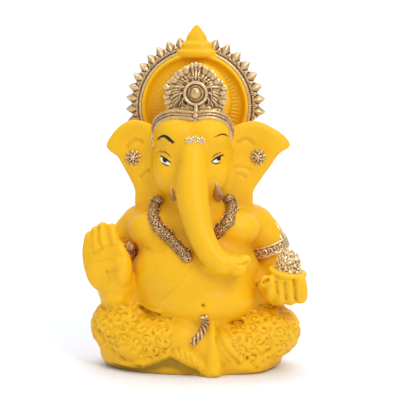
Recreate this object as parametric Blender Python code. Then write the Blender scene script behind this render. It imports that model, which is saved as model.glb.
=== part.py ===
# Seated Ganesha statuette, cast in one piece and painted.
# It faces -Y, stands on Z = 0, and its origin is on its flat underside.
# The figure is laid out in parts of its height, as a carver's canon does.
# One part is close to one millimetre at the real size.

import math

import bmesh
import bpy
import numpy as np
from mathutils import Euler, Matrix, Vector
from mathutils.bvhtree import BVHTree

# Driving size, in metres
STATUE_HEIGHT = 0.150       # floor to the tip of the finial

# The layout, in parts: it is cut off flat at its ground line
GROUND = 2.5
TOP_OF_LAYOUT = 149.9
PART = STATUE_HEIGHT / (TOP_OF_LAYOUT - GROUND)
FINEST_STROKE = 0.74        # smallest detail that the sculpting keeps

# Sizes that can be set by themselves, in parts
BASE_HEIGHT = 9.5
BASE_WIDTH = 74.0
BASE_DEPTH = 52.0
EAR_TIP = 98.2              # height of the outer corner of both ears
EAR_THICKNESS = 5.2
HALO_RADIUS = 23.4          # yellow disc behind the crown
HALO_THICKNESS = 7.5
HALO_RECESS = 1.6           # how deep the disc is dished inside its rim
RIM_RADIUS = 0.95           # round moulding at the edge of the disc
BORDER_RADIUS = 2.1         # gold cord that the spikes stand on
SPIKE_LENGTH = 7.0          # from the edge of the disc to the tip
SPIKE_WIDTH = 5.2
LEFT_SPIKES = (103.4, 9.95, 10)     # first angle, step and count, in degrees
RIGHT_SPIKES = (72.3, -10.97, 8)
TUSK_LENGTH = 8.6
EARRING_RADIUS = 3.5
GARLAND_RADIUS = 2.5
ARMBAND_WIDTH = 4.2
ARMBAND_PROUD = 1.0         # how far it stands out of the arm
CORD_RADIUS = 1.0           # the two cords of the headband
JEWEL_RADIUS = 2.7
CREST_BEND = 0.026          # how fast the crest falls back away from the jewel
TRAY_RADIUS = 8.5
TRAY_THICKNESS = 3.2
SWEET_RADIUS = 6.0
SWEET_HEIGHT = 8.6
NAVEL_RADIUS = 1.1
FINIAL_TIP_WEAR = 0.42      # what smoothing takes off the tip
CURL_DEPTH = 0.8
CURL_SPACING = 6.4
CURL_SIZE = 1.2             # times the size of the smallest curl, 4 parts across

# Where the ornaments sit
HALO_CENTRE = (-1.0, 9.0, 114.6)
JEWEL_CENTRE = (0.8, 121.4)
TRAY_CENTRE = (40.8, -18.5, 45.4)
EARRINGS = ((-27.0, 93.1), (27.3, 94.2))
TUSKS = ((-9.1, 82.4, 0.2, 1.5), (9.9, 83.8, 0.4, 2.7))     # x, top, lean, radius

# The crest's leaves: angle around the jewel in degrees, reach and width
CREST_LEAVES = ((90, 13.2, 7.2), (124, 11.6, 5.6), (57, 11.4, 5.6), (147, 12.4, 4.6),
                (32, 11.2, 5.0), (173, 13.8, 7.4), (4, 13.0, 7.8), (199, 14.2, 4.2),
                (-24, 12.8, 4.4), (214, 14.0, 4.0), (-37, 13.2, 4.2))
CREST_PLATE = ((0, 11.4), (4, 10.6), (7.4, 8), (10.2, 4.2), (11.2, -1), (10.6, -5), (10.2, -8.6),
               (5, -10), (0, -10), (-5, -10), (-10.8, -8.6), (-11.4, -5), (-11.6, -1),
               (-10.2, 4.2), (-7.4, 8), (-4, 10.6))

CURL_ROWS = (9.8, 15.2, 20.6, 26)
PLAIN_FRONT = (-6.5, 17)    # from side to side, where the foot, pleat and folds are

TRIANGLES = 9900            # of the finished solid
YELLOW = (0.93, 0.52, 0.035, 1.0)

RIGHT_ARM = [(25, 3, 62), (31, 2, 56.8), (33.4, 3, 49.5), (33.5, 4, 42.5)]
LEFT_ARM = [(-24, 3, 62), (-30.4, 2, 56.6), (-33.6, 1, 48), (-34, 0, 40.5)]


def smooth_path(points, steps=6, closed=False):
    """Points along a Catmull-Rom curve through the given ones."""
    ends = [Vector(p) for p in points]
    count = len(ends)
    path = []
    for i in range(count if closed else count - 1):
        if closed:
            a, b, c, d = (ends[(i + k) % count] for k in (-1, 0, 1, 2))
        else:
            a, b, c, d = (ends[min(max(i + k, 0), count - 1)] for k in (-1, 0, 1, 2))
        for step in range(steps):
            t = step / steps
            path.append(0.5 * ((2 * b) + (c - a) * t + (2 * a - 5 * b + 4 * c - d) * t**2
                               + (3 * b - a - 3 * c + d) * t**3))
    if not closed:
        path.append(ends[-1])
    return path


def arc(centre, radius, start, end, count, y):
    """Points on an upright circle, from one angle to another in degrees."""
    return [(centre[0] + radius * math.cos(a), y, centre[-1] + radius * math.sin(a))
            for a in np.linspace(math.radians(start), math.radians(end), count)]


def add_blob(bm, centre, radii, turn=(0, 0, 0)):
    """An ellipsoid lump."""
    turned = Euler([math.radians(angle) for angle in turn])
    matrix = Matrix.LocRotScale(Vector(centre) * PART, turned, Vector(radii) * PART)
    bmesh.ops.create_icosphere(bm, subdivisions=3, radius=1, matrix=matrix)


def add_roll(bm, points, radii, flat=1.0, flat_axis=(0, 1, 0), sides=16):
    """A roll of clay along a smooth path, with its own radius at each point and round ends."""
    path = smooth_path(points)
    sizes = [v.x for v in smooth_path([(r, 0, 0) for r in radii])]
    axis = Vector(flat_axis).normalized()
    side = (path[1] - path[0]).orthogonal().normalized()
    tip_angles = [math.pi / 2 * (k + 0.4) / 3 for k in range(3)]
    rings = []
    for i, point in enumerate(path):
        ahead = path[min(i + 1, len(path) - 1)] - path[max(i - 1, 0)]
        ahead.normalize()
        side = (side - ahead * side.dot(ahead)).normalized()
        up = ahead.cross(side)
        caps = [(0.0, 1.0)]
        if i == 0:
            caps = [(-math.cos(a), math.sin(a)) for a in tip_angles] + caps
        if i == len(path) - 1:
            caps = caps + [(math.cos(a), math.sin(a)) for a in reversed(tip_angles)]
        for along, share in caps:
            centre = point + ahead * along * sizes[i]
            ring = []
            for k in range(sides):
                turn = 2 * math.pi * k / sides
                out = (side * math.cos(turn) + up * math.sin(turn)) * sizes[i] * share
                out += axis * out.dot(axis) * (flat - 1)
                ring.append(bm.verts.new((centre + out) * PART))
            rings.append(ring)
    close_rings(bm, rings)


def close_rings(bm, rings):
    """Bridges rings of points into one closed tube, with a face at each end."""
    sides = len(rings[0])
    for low, high in zip(rings, rings[1:]):
        for k in range(sides):
            n = (k + 1) % sides
            bm.faces.new((low[k], low[n], high[n], high[k]))
    bm.faces.new(list(reversed(rings[0])))
    bm.faces.new(rings[-1])


def add_turned(bm, profile, centre, turn=(0, 0, 0), stretch=(1, 1, 1), sides=40):
    """A shape turned on its own Z axis from (radius, height) points, bottom to top."""
    matrix = Matrix.LocRotScale(Vector(centre), Euler([math.radians(a) for a in turn]),
                                Vector(stretch))
    rings = []
    for radius, height in profile:
        ring = []
        for k in range(sides):
            angle = 2 * math.pi * k / sides
            point = Vector((radius * math.cos(angle), radius * math.sin(angle), height))
            ring.append(bm.verts.new((matrix @ point) * PART))
        rings.append(ring)
    close_rings(bm, rings)


def add_flap(bm, outline, middle, thickness, surface):
    """A flap with a soft edge. Its outline is in front view, and surface gives its depth."""
    border = smooth_path([(x, 0, z) for x, z in outline], steps=5, closed=True)
    half = thickness / 2
    rings = []
    for face, shares in ((-1, (0.3, 0.6, 0.85, 0.97, 1.0)), (1, (0.97, 0.85, 0.6, 0.3))):
        for share in shares:
            deep = half * math.sqrt(1 - share**6) * face
            ring = []
            for point in border:
                x = middle[0] + (point.x - middle[0]) * share
                z = middle[1] + (point.z - middle[1]) * share
                ring.append(bm.verts.new(Vector((x, surface(x, z) + deep, z)) * PART))
            rings.append(ring)
    near = bm.verts.new(Vector((middle[0], surface(*middle) - half, middle[1])) * PART)
    far = bm.verts.new(Vector((middle[0], surface(*middle) + half, middle[1])) * PART)
    count = len(border)
    for low, high in zip(rings, rings[1:]):
        for k in range(count):
            n = (k + 1) % count
            bm.faces.new((low[k], low[n], high[n], high[k]))
    for k in range(count):
        n = (k + 1) % count
        bm.faces.new((near, rings[0][n], rings[0][k]))
        bm.faces.new((far, rings[-1][k], rings[-1][n]))


def fused(bm, soft=0.0):
    """The lumps of bm as one skin. Soft is how far, in parts, its creases are smoothed."""
    bmesh.ops.recalc_face_normals(bm, faces=bm.faces)
    mesh = bpy.data.meshes.new("lumps")
    bm.to_mesh(mesh)
    bm.free()
    lumps = bpy.data.objects.new("lumps", mesh)
    bpy.context.scene.collection.objects.link(lumps)
    remesh = lumps.modifiers.new("one skin", "REMESH")
    remesh.mode = "VOXEL"
    remesh.voxel_size = FINEST_STROKE * PART
    if soft:
        smooth = lumps.modifiers.new("soft creases", "SMOOTH")
        smooth.factor = 0.5
        smooth.iterations = max(1, round((soft / FINEST_STROKE) ** 2))
    skin = evaluated_mesh(lumps)
    bpy.data.objects.remove(lumps)
    return skin


def fill_creases(mesh, reach):
    """Clay pressed into the creases, as far as reach: only hollows move, and only outwards."""
    co = vectors_of(mesh, "co")
    total = len(co)
    pairs = np.empty(len(mesh.edges) * 2, np.int32)
    mesh.edges.foreach_get("vertices", pairs)
    a, b = pairs.reshape(-1, 2).T
    count = np.maximum(np.bincount(a, minlength=total) + np.bincount(b, minlength=total), 1)
    flat_enough = 0.004 * FINEST_STROKE * PART
    for done in range(round((reach / FINEST_STROKE) ** 2)):
        if done % 8 == 0:
            mesh.vertices.foreach_set("co", co.astype(np.float32).ravel())
            mesh.update()
            normal = vectors_of(mesh, "normal")
        middle = np.stack([(np.bincount(a, co[b, k], total) + np.bincount(b, co[a, k], total))
                           / count for k in range(3)], 1)
        hollow = ((middle - co) * normal).sum(1) - flat_enough
        co += normal * np.maximum(hollow, 0)[:, None]
    mesh.vertices.foreach_set("co", co.astype(np.float32).ravel())
    mesh.update()
    return mesh


def vectors_of(mesh, name):
    """A vector for each of the mesh's vertices, by its name."""
    values = np.empty(len(mesh.vertices) * 3, np.float32)
    mesh.vertices.foreach_get(name, values)
    return values.reshape(-1, 3).astype(float)


def evaluated_mesh(made):
    """The object's mesh with its modifiers applied."""
    graph = bpy.context.evaluated_depsgraph_get()
    graph.update()
    return bpy.data.meshes.new_from_object(made.evaluated_get(graph))


def front_of(*meshes):
    """A function that gives the depth of the meshes' front at a place in front view."""
    bm = bmesh.new()
    for mesh in meshes:
        bm.from_mesh(mesh)
    tree = BVHTree.FromBMesh(bm)
    bm.free()

    def depth(x, z):
        hit = tree.ray_cast(Vector((x, -200, z)) * PART, Vector((0, 1, 0)))[0]
        return hit.y / PART if hit else 0.0

    return depth


def laid_on(depth, places, proud=0.0):
    """Front-view places lifted onto the surface that depth gives."""
    return [(x, depth(x, z) - proud, z) for x, z in places]


def torso():
    bm = bmesh.new()
    add_blob(bm, (0.5, -7, 42), (28.5, 22.5, 22))
    add_blob(bm, (2.5, -10, 33.5), (26, 20.5, 14))
    add_blob(bm, (0, 0, 63), (24, 17.5, 14))
    add_blob(bm, (0, 8, 50), (28, 14.5, 27))
    add_blob(bm, (0, 5, 22), (33, 20, 20))
    add_blob(bm, (-27, -3, 34), (9, 13, 13))
    add_blob(bm, (27.5, -2, 34), (9, 13, 11))
    add_blob(bm, (-22, 3, 62.5), (12, 12, 10))
    add_blob(bm, (22.5, 3, 62.8), (12, 12, 10))
    add_blob(bm, (-15.5, -7.5, 62), (14, 10, 9))
    add_blob(bm, (16.5, -9, 63), (12.5, 10.5, 8.8))
    add_roll(bm, [(0, 2, 68), (0, 0, 90)], [14, 13])
    return fused(bm, soft=4)


def arms():
    bm = bmesh.new()
    add_roll(bm, RIGHT_ARM, (10, 8.1, 7.3, 7))
    add_roll(bm, [(33.5, 4, 41.5), (34.5, -6, 39), (36.5, -16, 37)], (7.6, 7.2, 6.2))
    add_roll(bm, LEFT_ARM, (10, 8.1, 7.3, 7))
    add_roll(bm, [(-34, 0, 39), (-35, -8, 36), (-33.5, -14, 35)], (7.6, 7.4, 7.2))
    return fused(bm, soft=1.5)


def raised_hand():
    """The open palm that faces out."""
    bm = bmesh.new()
    add_blob(bm, (-37, -16.5, 46), (9.6, 4.6, 11))
    add_blob(bm, (-33.4, -16, 40), (8.2, 5.4, 8.4))
    add_blob(bm, (-30.2, -18.4, 46), (4.5, 4.2, 8.8))
    add_roll(bm, [(-30, -18.2, 46), (-30.2, -18.4, 52), (-32, -18, 57)], (3.9, 3, 2))
    fingers = (
        ([(-33.6, -17, 50), (-33.9, -17.3, 58), (-34.8, -16.4, 63.6)], (3.4, 2.8, 2.3)),
        ([(-38, -17.4, 51), (-38.3, -17.7, 59), (-38.8, -16.6, 64.2)], (3.1, 2.9, 2.3)),
        ([(-41.8, -17, 50), (-42, -17.3, 57), (-42, -16.2, 62.4)], (2.9, 2.6, 2.1)),
        ([(-44.6, -16, 46), (-45.3, -16, 53), (-44.8, -15.2, 60)], (2.6, 2.6, 2.1)),
    )
    for points, radii in fingers:
        add_roll(bm, points, radii)
    return fused(bm, soft=0.8)


def serving_hand():
    """The palm-up hand under the tray, its fingers curled up in front."""
    bm = bmesh.new()
    add_blob(bm, (39.5, -16, 37.8), (9.5, 7.4, 6))
    for x, radius, low in ((34.3, 2.6, 36.4), (38.4, 2.4, 34.8), (42.3, 2.4, 34.6),
                           (46.6, 2.7, 36.8)):
        add_roll(bm, [(x * 0.9 + 4, -16, low - 0.8), (x, -22, low), (x + 0.2, -24.2, low + 4),
                      (x, -24, 43.6)], (radius, radius, radius * 0.95, radius * 0.8))
    add_roll(bm, [(31, -14, 39), (31.2, -20, 41), (31.6, -23, 42.8)], (3.4, 3, 2.6))
    return fused(bm, soft=0.7)


def legs():
    """The crossed legs under their cloth."""
    bm = bmesh.new()
    add_blob(bm, (-29.6, -6.5, 19.6), (15.9, 17.5, 13.6))
    add_blob(bm, (-27, -6.5, 8.5), (15.6, 17.5, 9.5))
    add_blob(bm, (30, -6.5, 18.4), (15.3, 17.5, 12.3))
    add_blob(bm, (24.8, -6.5, 8), (13.9, 17, 9.5))
    add_roll(bm, [(-12, 4, 18), (-27, -5, 18)], (15, 14))
    add_roll(bm, [(12, 4, 18), (27, -5, 18)], (15, 13.5))
    add_roll(bm, [(-31, -12, 15.5), (-17, -20.5, 16), (-4, -23.5, 18)], (10.8, 9.6, 7.8))
    add_blob(bm, (-20, -17.5, 12.5), (16, 11.5, 8))
    add_roll(bm, [(30, -12, 14), (18, -20, 13), (7, -23.5, 14)], (11, 9.6, 8.5))
    add_blob(bm, (19, -16.5, 6), (15.5, 11.5, 9))
    add_blob(bm, (0, -10, 15), (26, 16, 13.5))
    add_blob(bm, (5.5, -20, 21.5), (10, 6, 6))
    return fused(bm, soft=2.0)


def foot_and_pleat():
    """The hem, the foot that shows under it, and the pleat that hangs down to the floor."""
    bm = bmesh.new()
    hem = [(-35.5, -17.5, 8), (-29, -23.4, 6.6), (-21.7, -27, 6.6), (-15.5, -28.4, 8),
           (-8.4, -29.2, 11.2), (-1.5, -28.6, 15.4)]
    add_roll(bm, hem, (1.6, 1.8, 1.8, 1.7, 1.6, 1.2), sides=12)
    add_roll(bm, [(-7.6, -26, 12), (-3.4, -28.8, 11.8), (1.2, -30.2, 9.8)], (3.2, 3.7, 3))
    add_blob(bm, (-1, -26, 7), (9, 5, 5))
    for x, z, radius in ((2.2, 9.8, 1.9), (4.2, 8.0, 1.5), (5.8, 6.6, 1.3), (7.1, 5.4, 1.15)):
        add_roll(bm, [(x - 3.4, -30, z + 0.9), (x, -32, z - 0.3)], (radius, radius * 0.95))
    add_roll(bm, [(9.1, -25.6, 24.6), (9.5, -28.6, 18.5), (10, -30.4, 10), (10.3, -31.2, 0)],
             (1.0, 2.6, 3.4, 3.8))
    add_roll(bm, [(4.6, -26.4, 18.6), (5.6, -28.6, 11), (6.8, -29.8, 0)], (1.4, 2.5, 3.0))
    return fused(bm, soft=0.6)


def base():
    """The low flat foot that the crossed legs rest on."""
    bm = bmesh.new()
    half = BASE_WIDTH / 2
    profile = ((half - 2, -3), (half, GROUND), (half + 0.6, BASE_HEIGHT * 0.7),
               (half, BASE_HEIGHT))
    add_turned(bm, profile, (-2.4, -4, 0), stretch=(1, BASE_DEPTH / BASE_WIDTH, 1))
    add_roll(bm, [(-14, -22, -1), (2, -27, -1), (10, -27, -1), (24, -20, -1)],
             (4.5, 4.5, 4.5, 4.5), flat=1.4, flat_axis=(0, 0, 1))
    return fused(bm, soft=1.0)


def head():
    """The skull, cheeks and jaw, with the root of the trunk."""
    bm = bmesh.new()
    add_blob(bm, (-1.1, -1, 100.4), (17.5, 16, 13.8))
    add_blob(bm, (-1.2, -4.5, 96), (17.4, 14, 13))
    add_blob(bm, (-6, -5.4, 103.4), (11.4, 12, 9.6))
    add_blob(bm, (4.9, -5.4, 103.4), (11.3, 12, 9.6))
    add_blob(bm, (-8.6, -6.5, 88.4), (10, 11.5, 12))
    add_blob(bm, (5.8, -6.5, 88.2), (9.6, 11.5, 12))
    add_blob(bm, (-0.4, -7, 80), (10, 11, 8.5))
    add_roll(bm, [(-0.2, -6, 104), (0, -12.8, 98), (0.2, -17.2, 91), (0.4, -19.8, 83)],
             (6, 6.6, 6.8, 6.8))
    return fused(bm, soft=3.5)


def trunk():
    """The trunk, and the clay behind it that joins it to the chest."""
    bm = bmesh.new()
    add_roll(bm, [(0.4, -12, 82), (1, -16, 73), (3, -19, 65), (6.4, -22, 57)],
             (5.6, 5.4, 5, 4.6))
    add_blob(bm, (13.4, -25, 49), (10, 6, 3.8))
    path = [(0, -16, 93), (0.1, -19.2, 86), (0.6, -22.3, 77.5), (2.6, -25.4, 69),
            (5.2, -28, 61.6), (8.6, -29.8, 55.6), (12.4, -30.6, 52), (16.4, -30.4, 50.6),
            (20.2, -29.8, 50.6), (23.2, -29.2, 52)]
    add_roll(bm, path, (5.6, 6.1, 6.6, 6.2, 5.6, 5.3, 4.8, 4.3, 3.8, 2.9))
    add_blob(bm, (20.2, -30.6, 49.8), (4.5, 3.9, 4.2))
    add_blob(bm, (23, -31.4, 53), (3, 1.6, 1.3), turn=(0, -8, 0))
    return fused(bm, soft=0.8)


def ears():
    bm = bmesh.new()
    left = [(-14, 104), (-21, 108.4), (-27.7, 109.3), (-32.4, 107.3), (-36.4, 103.3),
            (-39.4, EAR_TIP), (-37.8, 95.4), (-34.4, 93), (-32, 89), (-28.6, 83), (-26.4, 78),
            (-26, 71), (-18, 71), (-11, 78), (-9, 92)]
    right = [(12, 104), (20, 108.4), (26.8, 109.2), (33.4, 106.4), (38.8, 102.6),
             (41.2, EAR_TIP), (36.6, 95), (32.8, 89.6), (28.4, 83.4), (25.2, 78), (24.6, 71),
             (17, 71), (10, 78), (8, 92)]

    def sweep(x, z):
        away = max(0.0, abs(x) - 14)
        hollow = 2.2 * math.exp(-((away - 11) / 7) ** 2) * math.exp(-((z - 97) / 11) ** 2)
        return -4.5 + 0.16 * away + hollow

    add_flap(bm, left, (-23, 93), EAR_THICKNESS, sweep)
    add_flap(bm, right, (22, 93), EAR_THICKNESS, sweep)
    return fused(bm, soft=0.9)


def crown():
    """The dome of the crown, the dished disc behind it with its rim, and the finial."""
    bm = bmesh.new()
    x, y, z = HALO_CENTRE
    half = HALO_THICKNESS / 2
    floor = half - HALO_RECESS
    add_blob(bm, (x + 1.5, 2.5, z + 2.6), (14.5, 11.5, 16.8))
    add_blob(bm, (x, y - floor + 0.6, z), (HALO_RADIUS - 4.2, 2.4, HALO_RADIUS - 4.2))
    disc = ((0.1, -half), (HALO_RADIUS - 1, -half), (HALO_RADIUS, -half + 1),
            (HALO_RADIUS, half - 1), (HALO_RADIUS - 0.5, half), (HALO_RADIUS - 1.8, half),
            (HALO_RADIUS - 2.8, floor), (0.1, floor))
    add_turned(bm, disc, HALO_CENTRE, turn=(90, 0, 0), sides=64)
    rim = arc(HALO_CENTRE, HALO_RADIUS - RIM_RADIUS, -60, 240, 25, y - half)
    add_roll(bm, rim, [RIM_RADIUS] * len(rim), sides=10)
    foot = z + HALO_RADIUS
    rise = TOP_OF_LAYOUT + FINIAL_TIP_WEAR - foot
    finial = ((7.4, -0.185), (8.8, -0.13), (9.2, -0.05), (9.1, 0.05), (8.2, 0.105),
              (6.3, 0.137), (6.8, 0.177), (7.1, 0.25), (6.7, 0.337), (5.8, 0.386), (4.2, 0.41),
              (4.55, 0.466), (4.6, 0.522), (4.1, 0.61), (3.3, 0.7), (2.5, 0.787),
              (1.8, 0.867), (1.2, 0.94), (0.4, 1))
    add_turned(bm, [(radius, share * rise) for radius, share in finial], (x + 0.6, y - 1, foot),
               stretch=(1, 0.62, 1))
    return fused(bm, soft=0.4)


def spikes(bm):
    """Lotus-bud spikes around the disc, on a cord that hides their roots."""
    x, y, z = HALO_CENTRE
    cord = arc(HALO_CENTRE, HALO_RADIUS + 1, -40, 220, 25, y - 0.6)
    add_roll(bm, cord, [BORDER_RADIUS] * len(cord), sides=8)
    for first, step, count in (LEFT_SPIKES, RIGHT_SPIKES):
        for k in range(count):
            angle = math.radians(first + step * k)
            out = Vector((math.cos(angle), 0, math.sin(angle)))
            root = Vector((x, y - 0.6, z))
            add_roll(bm, [root + out * (HALO_RADIUS + 0.4), root + out * (HALO_RADIUS + 3),
                          root + out * (HALO_RADIUS + SPIKE_LENGTH)],
                     (SPIKE_WIDTH * 0.44, SPIKE_WIDTH * 0.48, 0.5), flat=0.8, sides=6)


def crest(bm, depth):
    """The leaf crest that stands before the crown: leaves on a plate, around a jewel."""
    heart = Vector(laid_on(depth, [JEWEL_CENTRE], 1.2)[0])

    def bent(x, z):
        return heart.y + CREST_BEND * ((x - heart.x) ** 2 + (z - heart.z) ** 2)

    border = [(heart.x + dx, heart.z + dz) for dx, dz in CREST_PLATE]
    add_flap(bm, border, JEWEL_CENTRE, 3.0, lambda x, z: bent(x, z) + 1.2)
    for degrees, length, width in CREST_LEAVES:
        angle = math.radians(degrees)
        spine = [(heart.x + math.cos(angle) * r, heart.z + math.sin(angle) * r)
                 for r in (4.5, length * 0.72, length - width * 0.42)]
        add_roll(bm, [(x, bent(x, z) - 0.2, z) for x, z in spine],
                 (1.2, width * 0.34, width * 0.44), flat=0.7, sides=10)
    ring = arc(heart, JEWEL_RADIUS + 2.3, 0, 360, 17, heart.y - 0.9)
    add_blob(bm, heart, (JEWEL_RADIUS + 2.8, 2.2, JEWEL_RADIUS + 2.8))
    add_roll(bm, ring, [0.9] * len(ring), sides=8)
    add_blob(bm, heart + Vector((0, -1.8, 0)), (JEWEL_RADIUS * 0.75, 1.8, JEWEL_RADIUS * 0.85))
    stem = [heart + Vector((0.2, -0.4, -5.6)), heart + Vector((0.3, -0.6, -8.4))]
    add_roll(bm, stem, (1.1, 1.5), sides=10)


def headband(bm, depth):
    """Two cords over the forehead."""
    left = [(-17.8, 98.6), (-17.4, 103.4), (-15.2, 108), (-10, 111), (-4.5, 111.8), (0.6, 111.2)]
    right = [(15.6, 99), (15.6, 104.6), (13.6, 109), (9, 111.3), (4.4, 111.9), (0.9, 111.2)]
    for places in (left, right):
        path = laid_on(depth, places, CORD_RADIUS * 0.6)
        upper = [(x * 1.03, y + 0.8, z + 1.8) for x, y, z in path[1:]]
        add_roll(bm, path, [CORD_RADIUS] * len(path), sides=8)
        add_roll(bm, upper, [CORD_RADIUS] * len(upper), sides=8)


def brow_mark(bm, depth):
    for dx, drop in ((-2.7, 0.5), (0, 0), (2.7, 0.6)):
        add_blob(bm, laid_on(depth, [(1.3 + dx, 102.4 - drop)])[0], (1.6, 1.1, 1.6))


def earrings(bm, depth):
    petals = 8
    for place in EARRINGS:
        x, y, z = laid_on(depth, [place])[0]
        reach = EARRING_RADIUS * 0.7
        add_blob(bm, (x, y - 1.2, z), (reach * 0.7, 1.9, reach * 0.7))
        for k in range(petals):
            a = 2 * math.pi * k / petals
            add_blob(bm, (x + reach * math.cos(a), y - 0.5, z + reach * math.sin(a)),
                     (EARRING_RADIUS * 0.34, 1.5, EARRING_RADIUS * 0.34))


def tusks(bm, depth):
    for x, top, lean, radius in TUSKS:
        y = depth(x, top)
        path = [(x, y + 0.3, top), (x + lean, y - 0.9, top - TUSK_LENGTH * 0.5),
                (x + lean * 2, y - 1.3, top - TUSK_LENGTH + radius)]
        add_roll(bm, path, (0.5, radius * 0.62, radius), sides=10)


def garland(bm, depth):
    left = [(-15.6, 77.6), (-17.2, 74), (-18.2, 69.4), (-16.2, 64.4), (-12.4, 60.4),
            (-8.2, 57.4), (-4.8, 54.4), (-2.6, 51.8)]
    right = [(14.4, 79), (16, 75.4), (16.6, 71.4), (16.4, 68), (14, 64.6), (10.8, 61.6),
             (8.6, 58.8)]
    for places in (left, right):
        path = laid_on(depth, places, 1.0)
        add_roll(bm, path, [GARLAND_RADIUS] * len(path), sides=12)


def armbands(bm):
    """A band around each upper arm, with a leaf that points up on its outer side."""
    for arm, side in ((RIGHT_ARM, 1), (LEFT_ARM, -1)):
        low, high = Vector(arm[2]), Vector(arm[1])
        ahead = (high - low).normalized()
        middle = low + ahead * 4.8
        turn = ahead.to_track_quat("Z", "Y").to_euler()
        radius = 7.9 + ARMBAND_PROUD
        half = ARMBAND_WIDTH / 2
        profile = ((radius - 4, -half - 0.3), (radius, -half), (radius, half),
                   (radius - 4, half + 0.3))
        add_turned(bm, profile, middle, turn=[math.degrees(a) for a in turn])
        leaf = [middle + Vector((side * 7.4, -3.8, -0.5)),
                middle + Vector((side * 6.5, -3.5, 4.2)),
                middle + Vector((side * 3.9, -2.7, 9.6))]
        add_roll(bm, leaf, (2.4, 1.9, 0.8), flat=0.8, flat_axis=(1, 0, 0))


def tray_of_sweets(bm):
    half = TRAY_THICKNESS / 2
    x, y, z = TRAY_CENTRE
    profile = ((TRAY_RADIUS - 3, -half), (TRAY_RADIUS, half * 0.2), (TRAY_RADIUS - 0.4, half),
               (TRAY_RADIUS - 1.4, half))
    add_turned(bm, profile, TRAY_CENTRE, turn=(6, 9, 0))
    add_blob(bm, (x + 0.3, y + 0.5, z + half), (SWEET_RADIUS, SWEET_RADIUS, SWEET_HEIGHT))


def belt_end(bm, depth):
    places = [(5.8, 27.8), (6.4, 24.4), (4.8, 20.4), (1.6, 16.8)]
    add_roll(bm, laid_on(depth, places, 0.2), (1.1, 1.6, 1.8, 1.9), sides=10)


def distance_to(x, z, path):
    """Distance in front view from each place to a broken line."""
    best = np.full(len(x), np.inf)
    for (ax, az), (bx, bz) in zip(path, path[1:]):
        dx, dz = bx - ax, bz - az
        t = np.clip(((x - ax) * dx + (z - az) * dz) / (dx * dx + dz * dz), 0, 1)
        best = np.minimum(best, np.hypot(x - ax - t * dx, z - az - t * dz))
    return best


def carve(mesh):
    """Moves the skin along its normals: folds, curls, palm lines, ear creases, navel."""
    co = vectors_of(mesh, "co")
    normal = vectors_of(mesh, "normal")
    x, y, z = (co / PART).T
    front = np.clip(-normal[:, 1] * 1.6, 0, 1) * (y < 2)
    lift = np.zeros(len(x))
    for path, width, depth in strokes():
        line = [(p.x, p.z) for p in smooth_path([(a, 0, b) for a, b in path], steps=4)]
        lift -= depth * np.exp(-((distance_to(x, z, line) / width) ** 2)) * front
    lift += curls(mesh, x, y, z)
    co += normal * (lift * PART)[:, None]
    mesh.vertices.foreach_set("co", co.astype(np.float32).ravel())
    mesh.update()


def strokes():
    """Carved lines in front view: (places, width, depth). A negative depth is a ridge."""
    lines = [
        ([(5.6, 32.8), (5.7, 32.7)], NAVEL_RADIUS, 1.6),
        ([(-43.4, 61.3), (-43, 57.6), (-42.4, 54)], 0.7, 0.6),
        ([(-40.4, 65), (-39.9, 60.7), (-39.4, 56)], 0.7, 0.7),
        ([(-37.1, 65.9), (-36.3, 61.6), (-35.4, 56.8)], 0.7, 0.7),
        ([(-43.8, 53.3), (-39.1, 55.7), (-35.1, 56.4), (-30.5, 58.8)], 0.8, 0.4),
        ([(-30.5, 53.2), (-29.9, 48.9), (-32.6, 46.2), (-36.5, 44.8)], 1.0, 0.7),
        ([(-21.6, 55.6), (-16.6, 53.9), (-11.4, 55.6)], 0.9, 0.4),
        ([(-23.4, 29.8), (-18.9, 28), (-13.6, 27.4)], 0.8, 0.7),
        ([(-23.8, 31.2), (-18.9, 29.6), (-13.2, 28.9)], 0.8, -0.6),
        ([(-29.3, 97.8), (-27.7, 99.7), (-25.6, 100.5), (-23.5, 99.8)], 0.8, 0.5),
        ([(-23.5, 84.9), (-22, 86.8), (-20.3, 87.8)], 0.7, 0.5),
        ([(-18.6, 90.4), (-19.1, 93), (-18.6, 96.2), (-17.8, 97.9)], 0.6, 0.5),
        ([(19.2, 100.3), (21.2, 101.4), (23.4, 100.9), (24.9, 99.3)], 0.8, 0.45),
        ([(17.6, 89.5), (20.8, 89.3), (23.9, 88.2)], 0.7, 0.45),
        ([(15.8, 98.4), (16.8, 95.9), (16.5, 91.4)], 0.6, 0.45),
        ([(12, 22.5), (12.6, 18.8), (16.3, 12.6), (20.6, 7.8)], 0.9, 0.9),
        ([(13.7, 23), (16.8, 20.5), (19.8, 14.3), (24.2, 10.1), (28.5, 5.8)], 0.9, 0.9),
        ([(17.9, 23.4), (19.7, 18.3), (23, 14), (27.6, 10.6)], 0.9, 0.8),
    ]
    for x, low in ((37.5, 35.5), (41.9, 34.8), (45.7, 36)):
        lines.append(([(x - 0.2, low), (x, 43)], 0.55, 0.7))
    for x, z, fall in ((-11, 93.4, 1), (11.4, 93.8, -1)):
        lines.append(([(x - 2, z + fall), (x + 2, z - fall)], 4.2, 0.9))
    for start, low in ((-37, 12.4), (-33.4, 10), (-30, 8.2), (-40, 16)):
        lines.append(([(start - 3.4, low + 7), (start, low), (start + 8, low - 2.2)], 0.8, 0.6))
    return lines


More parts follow.
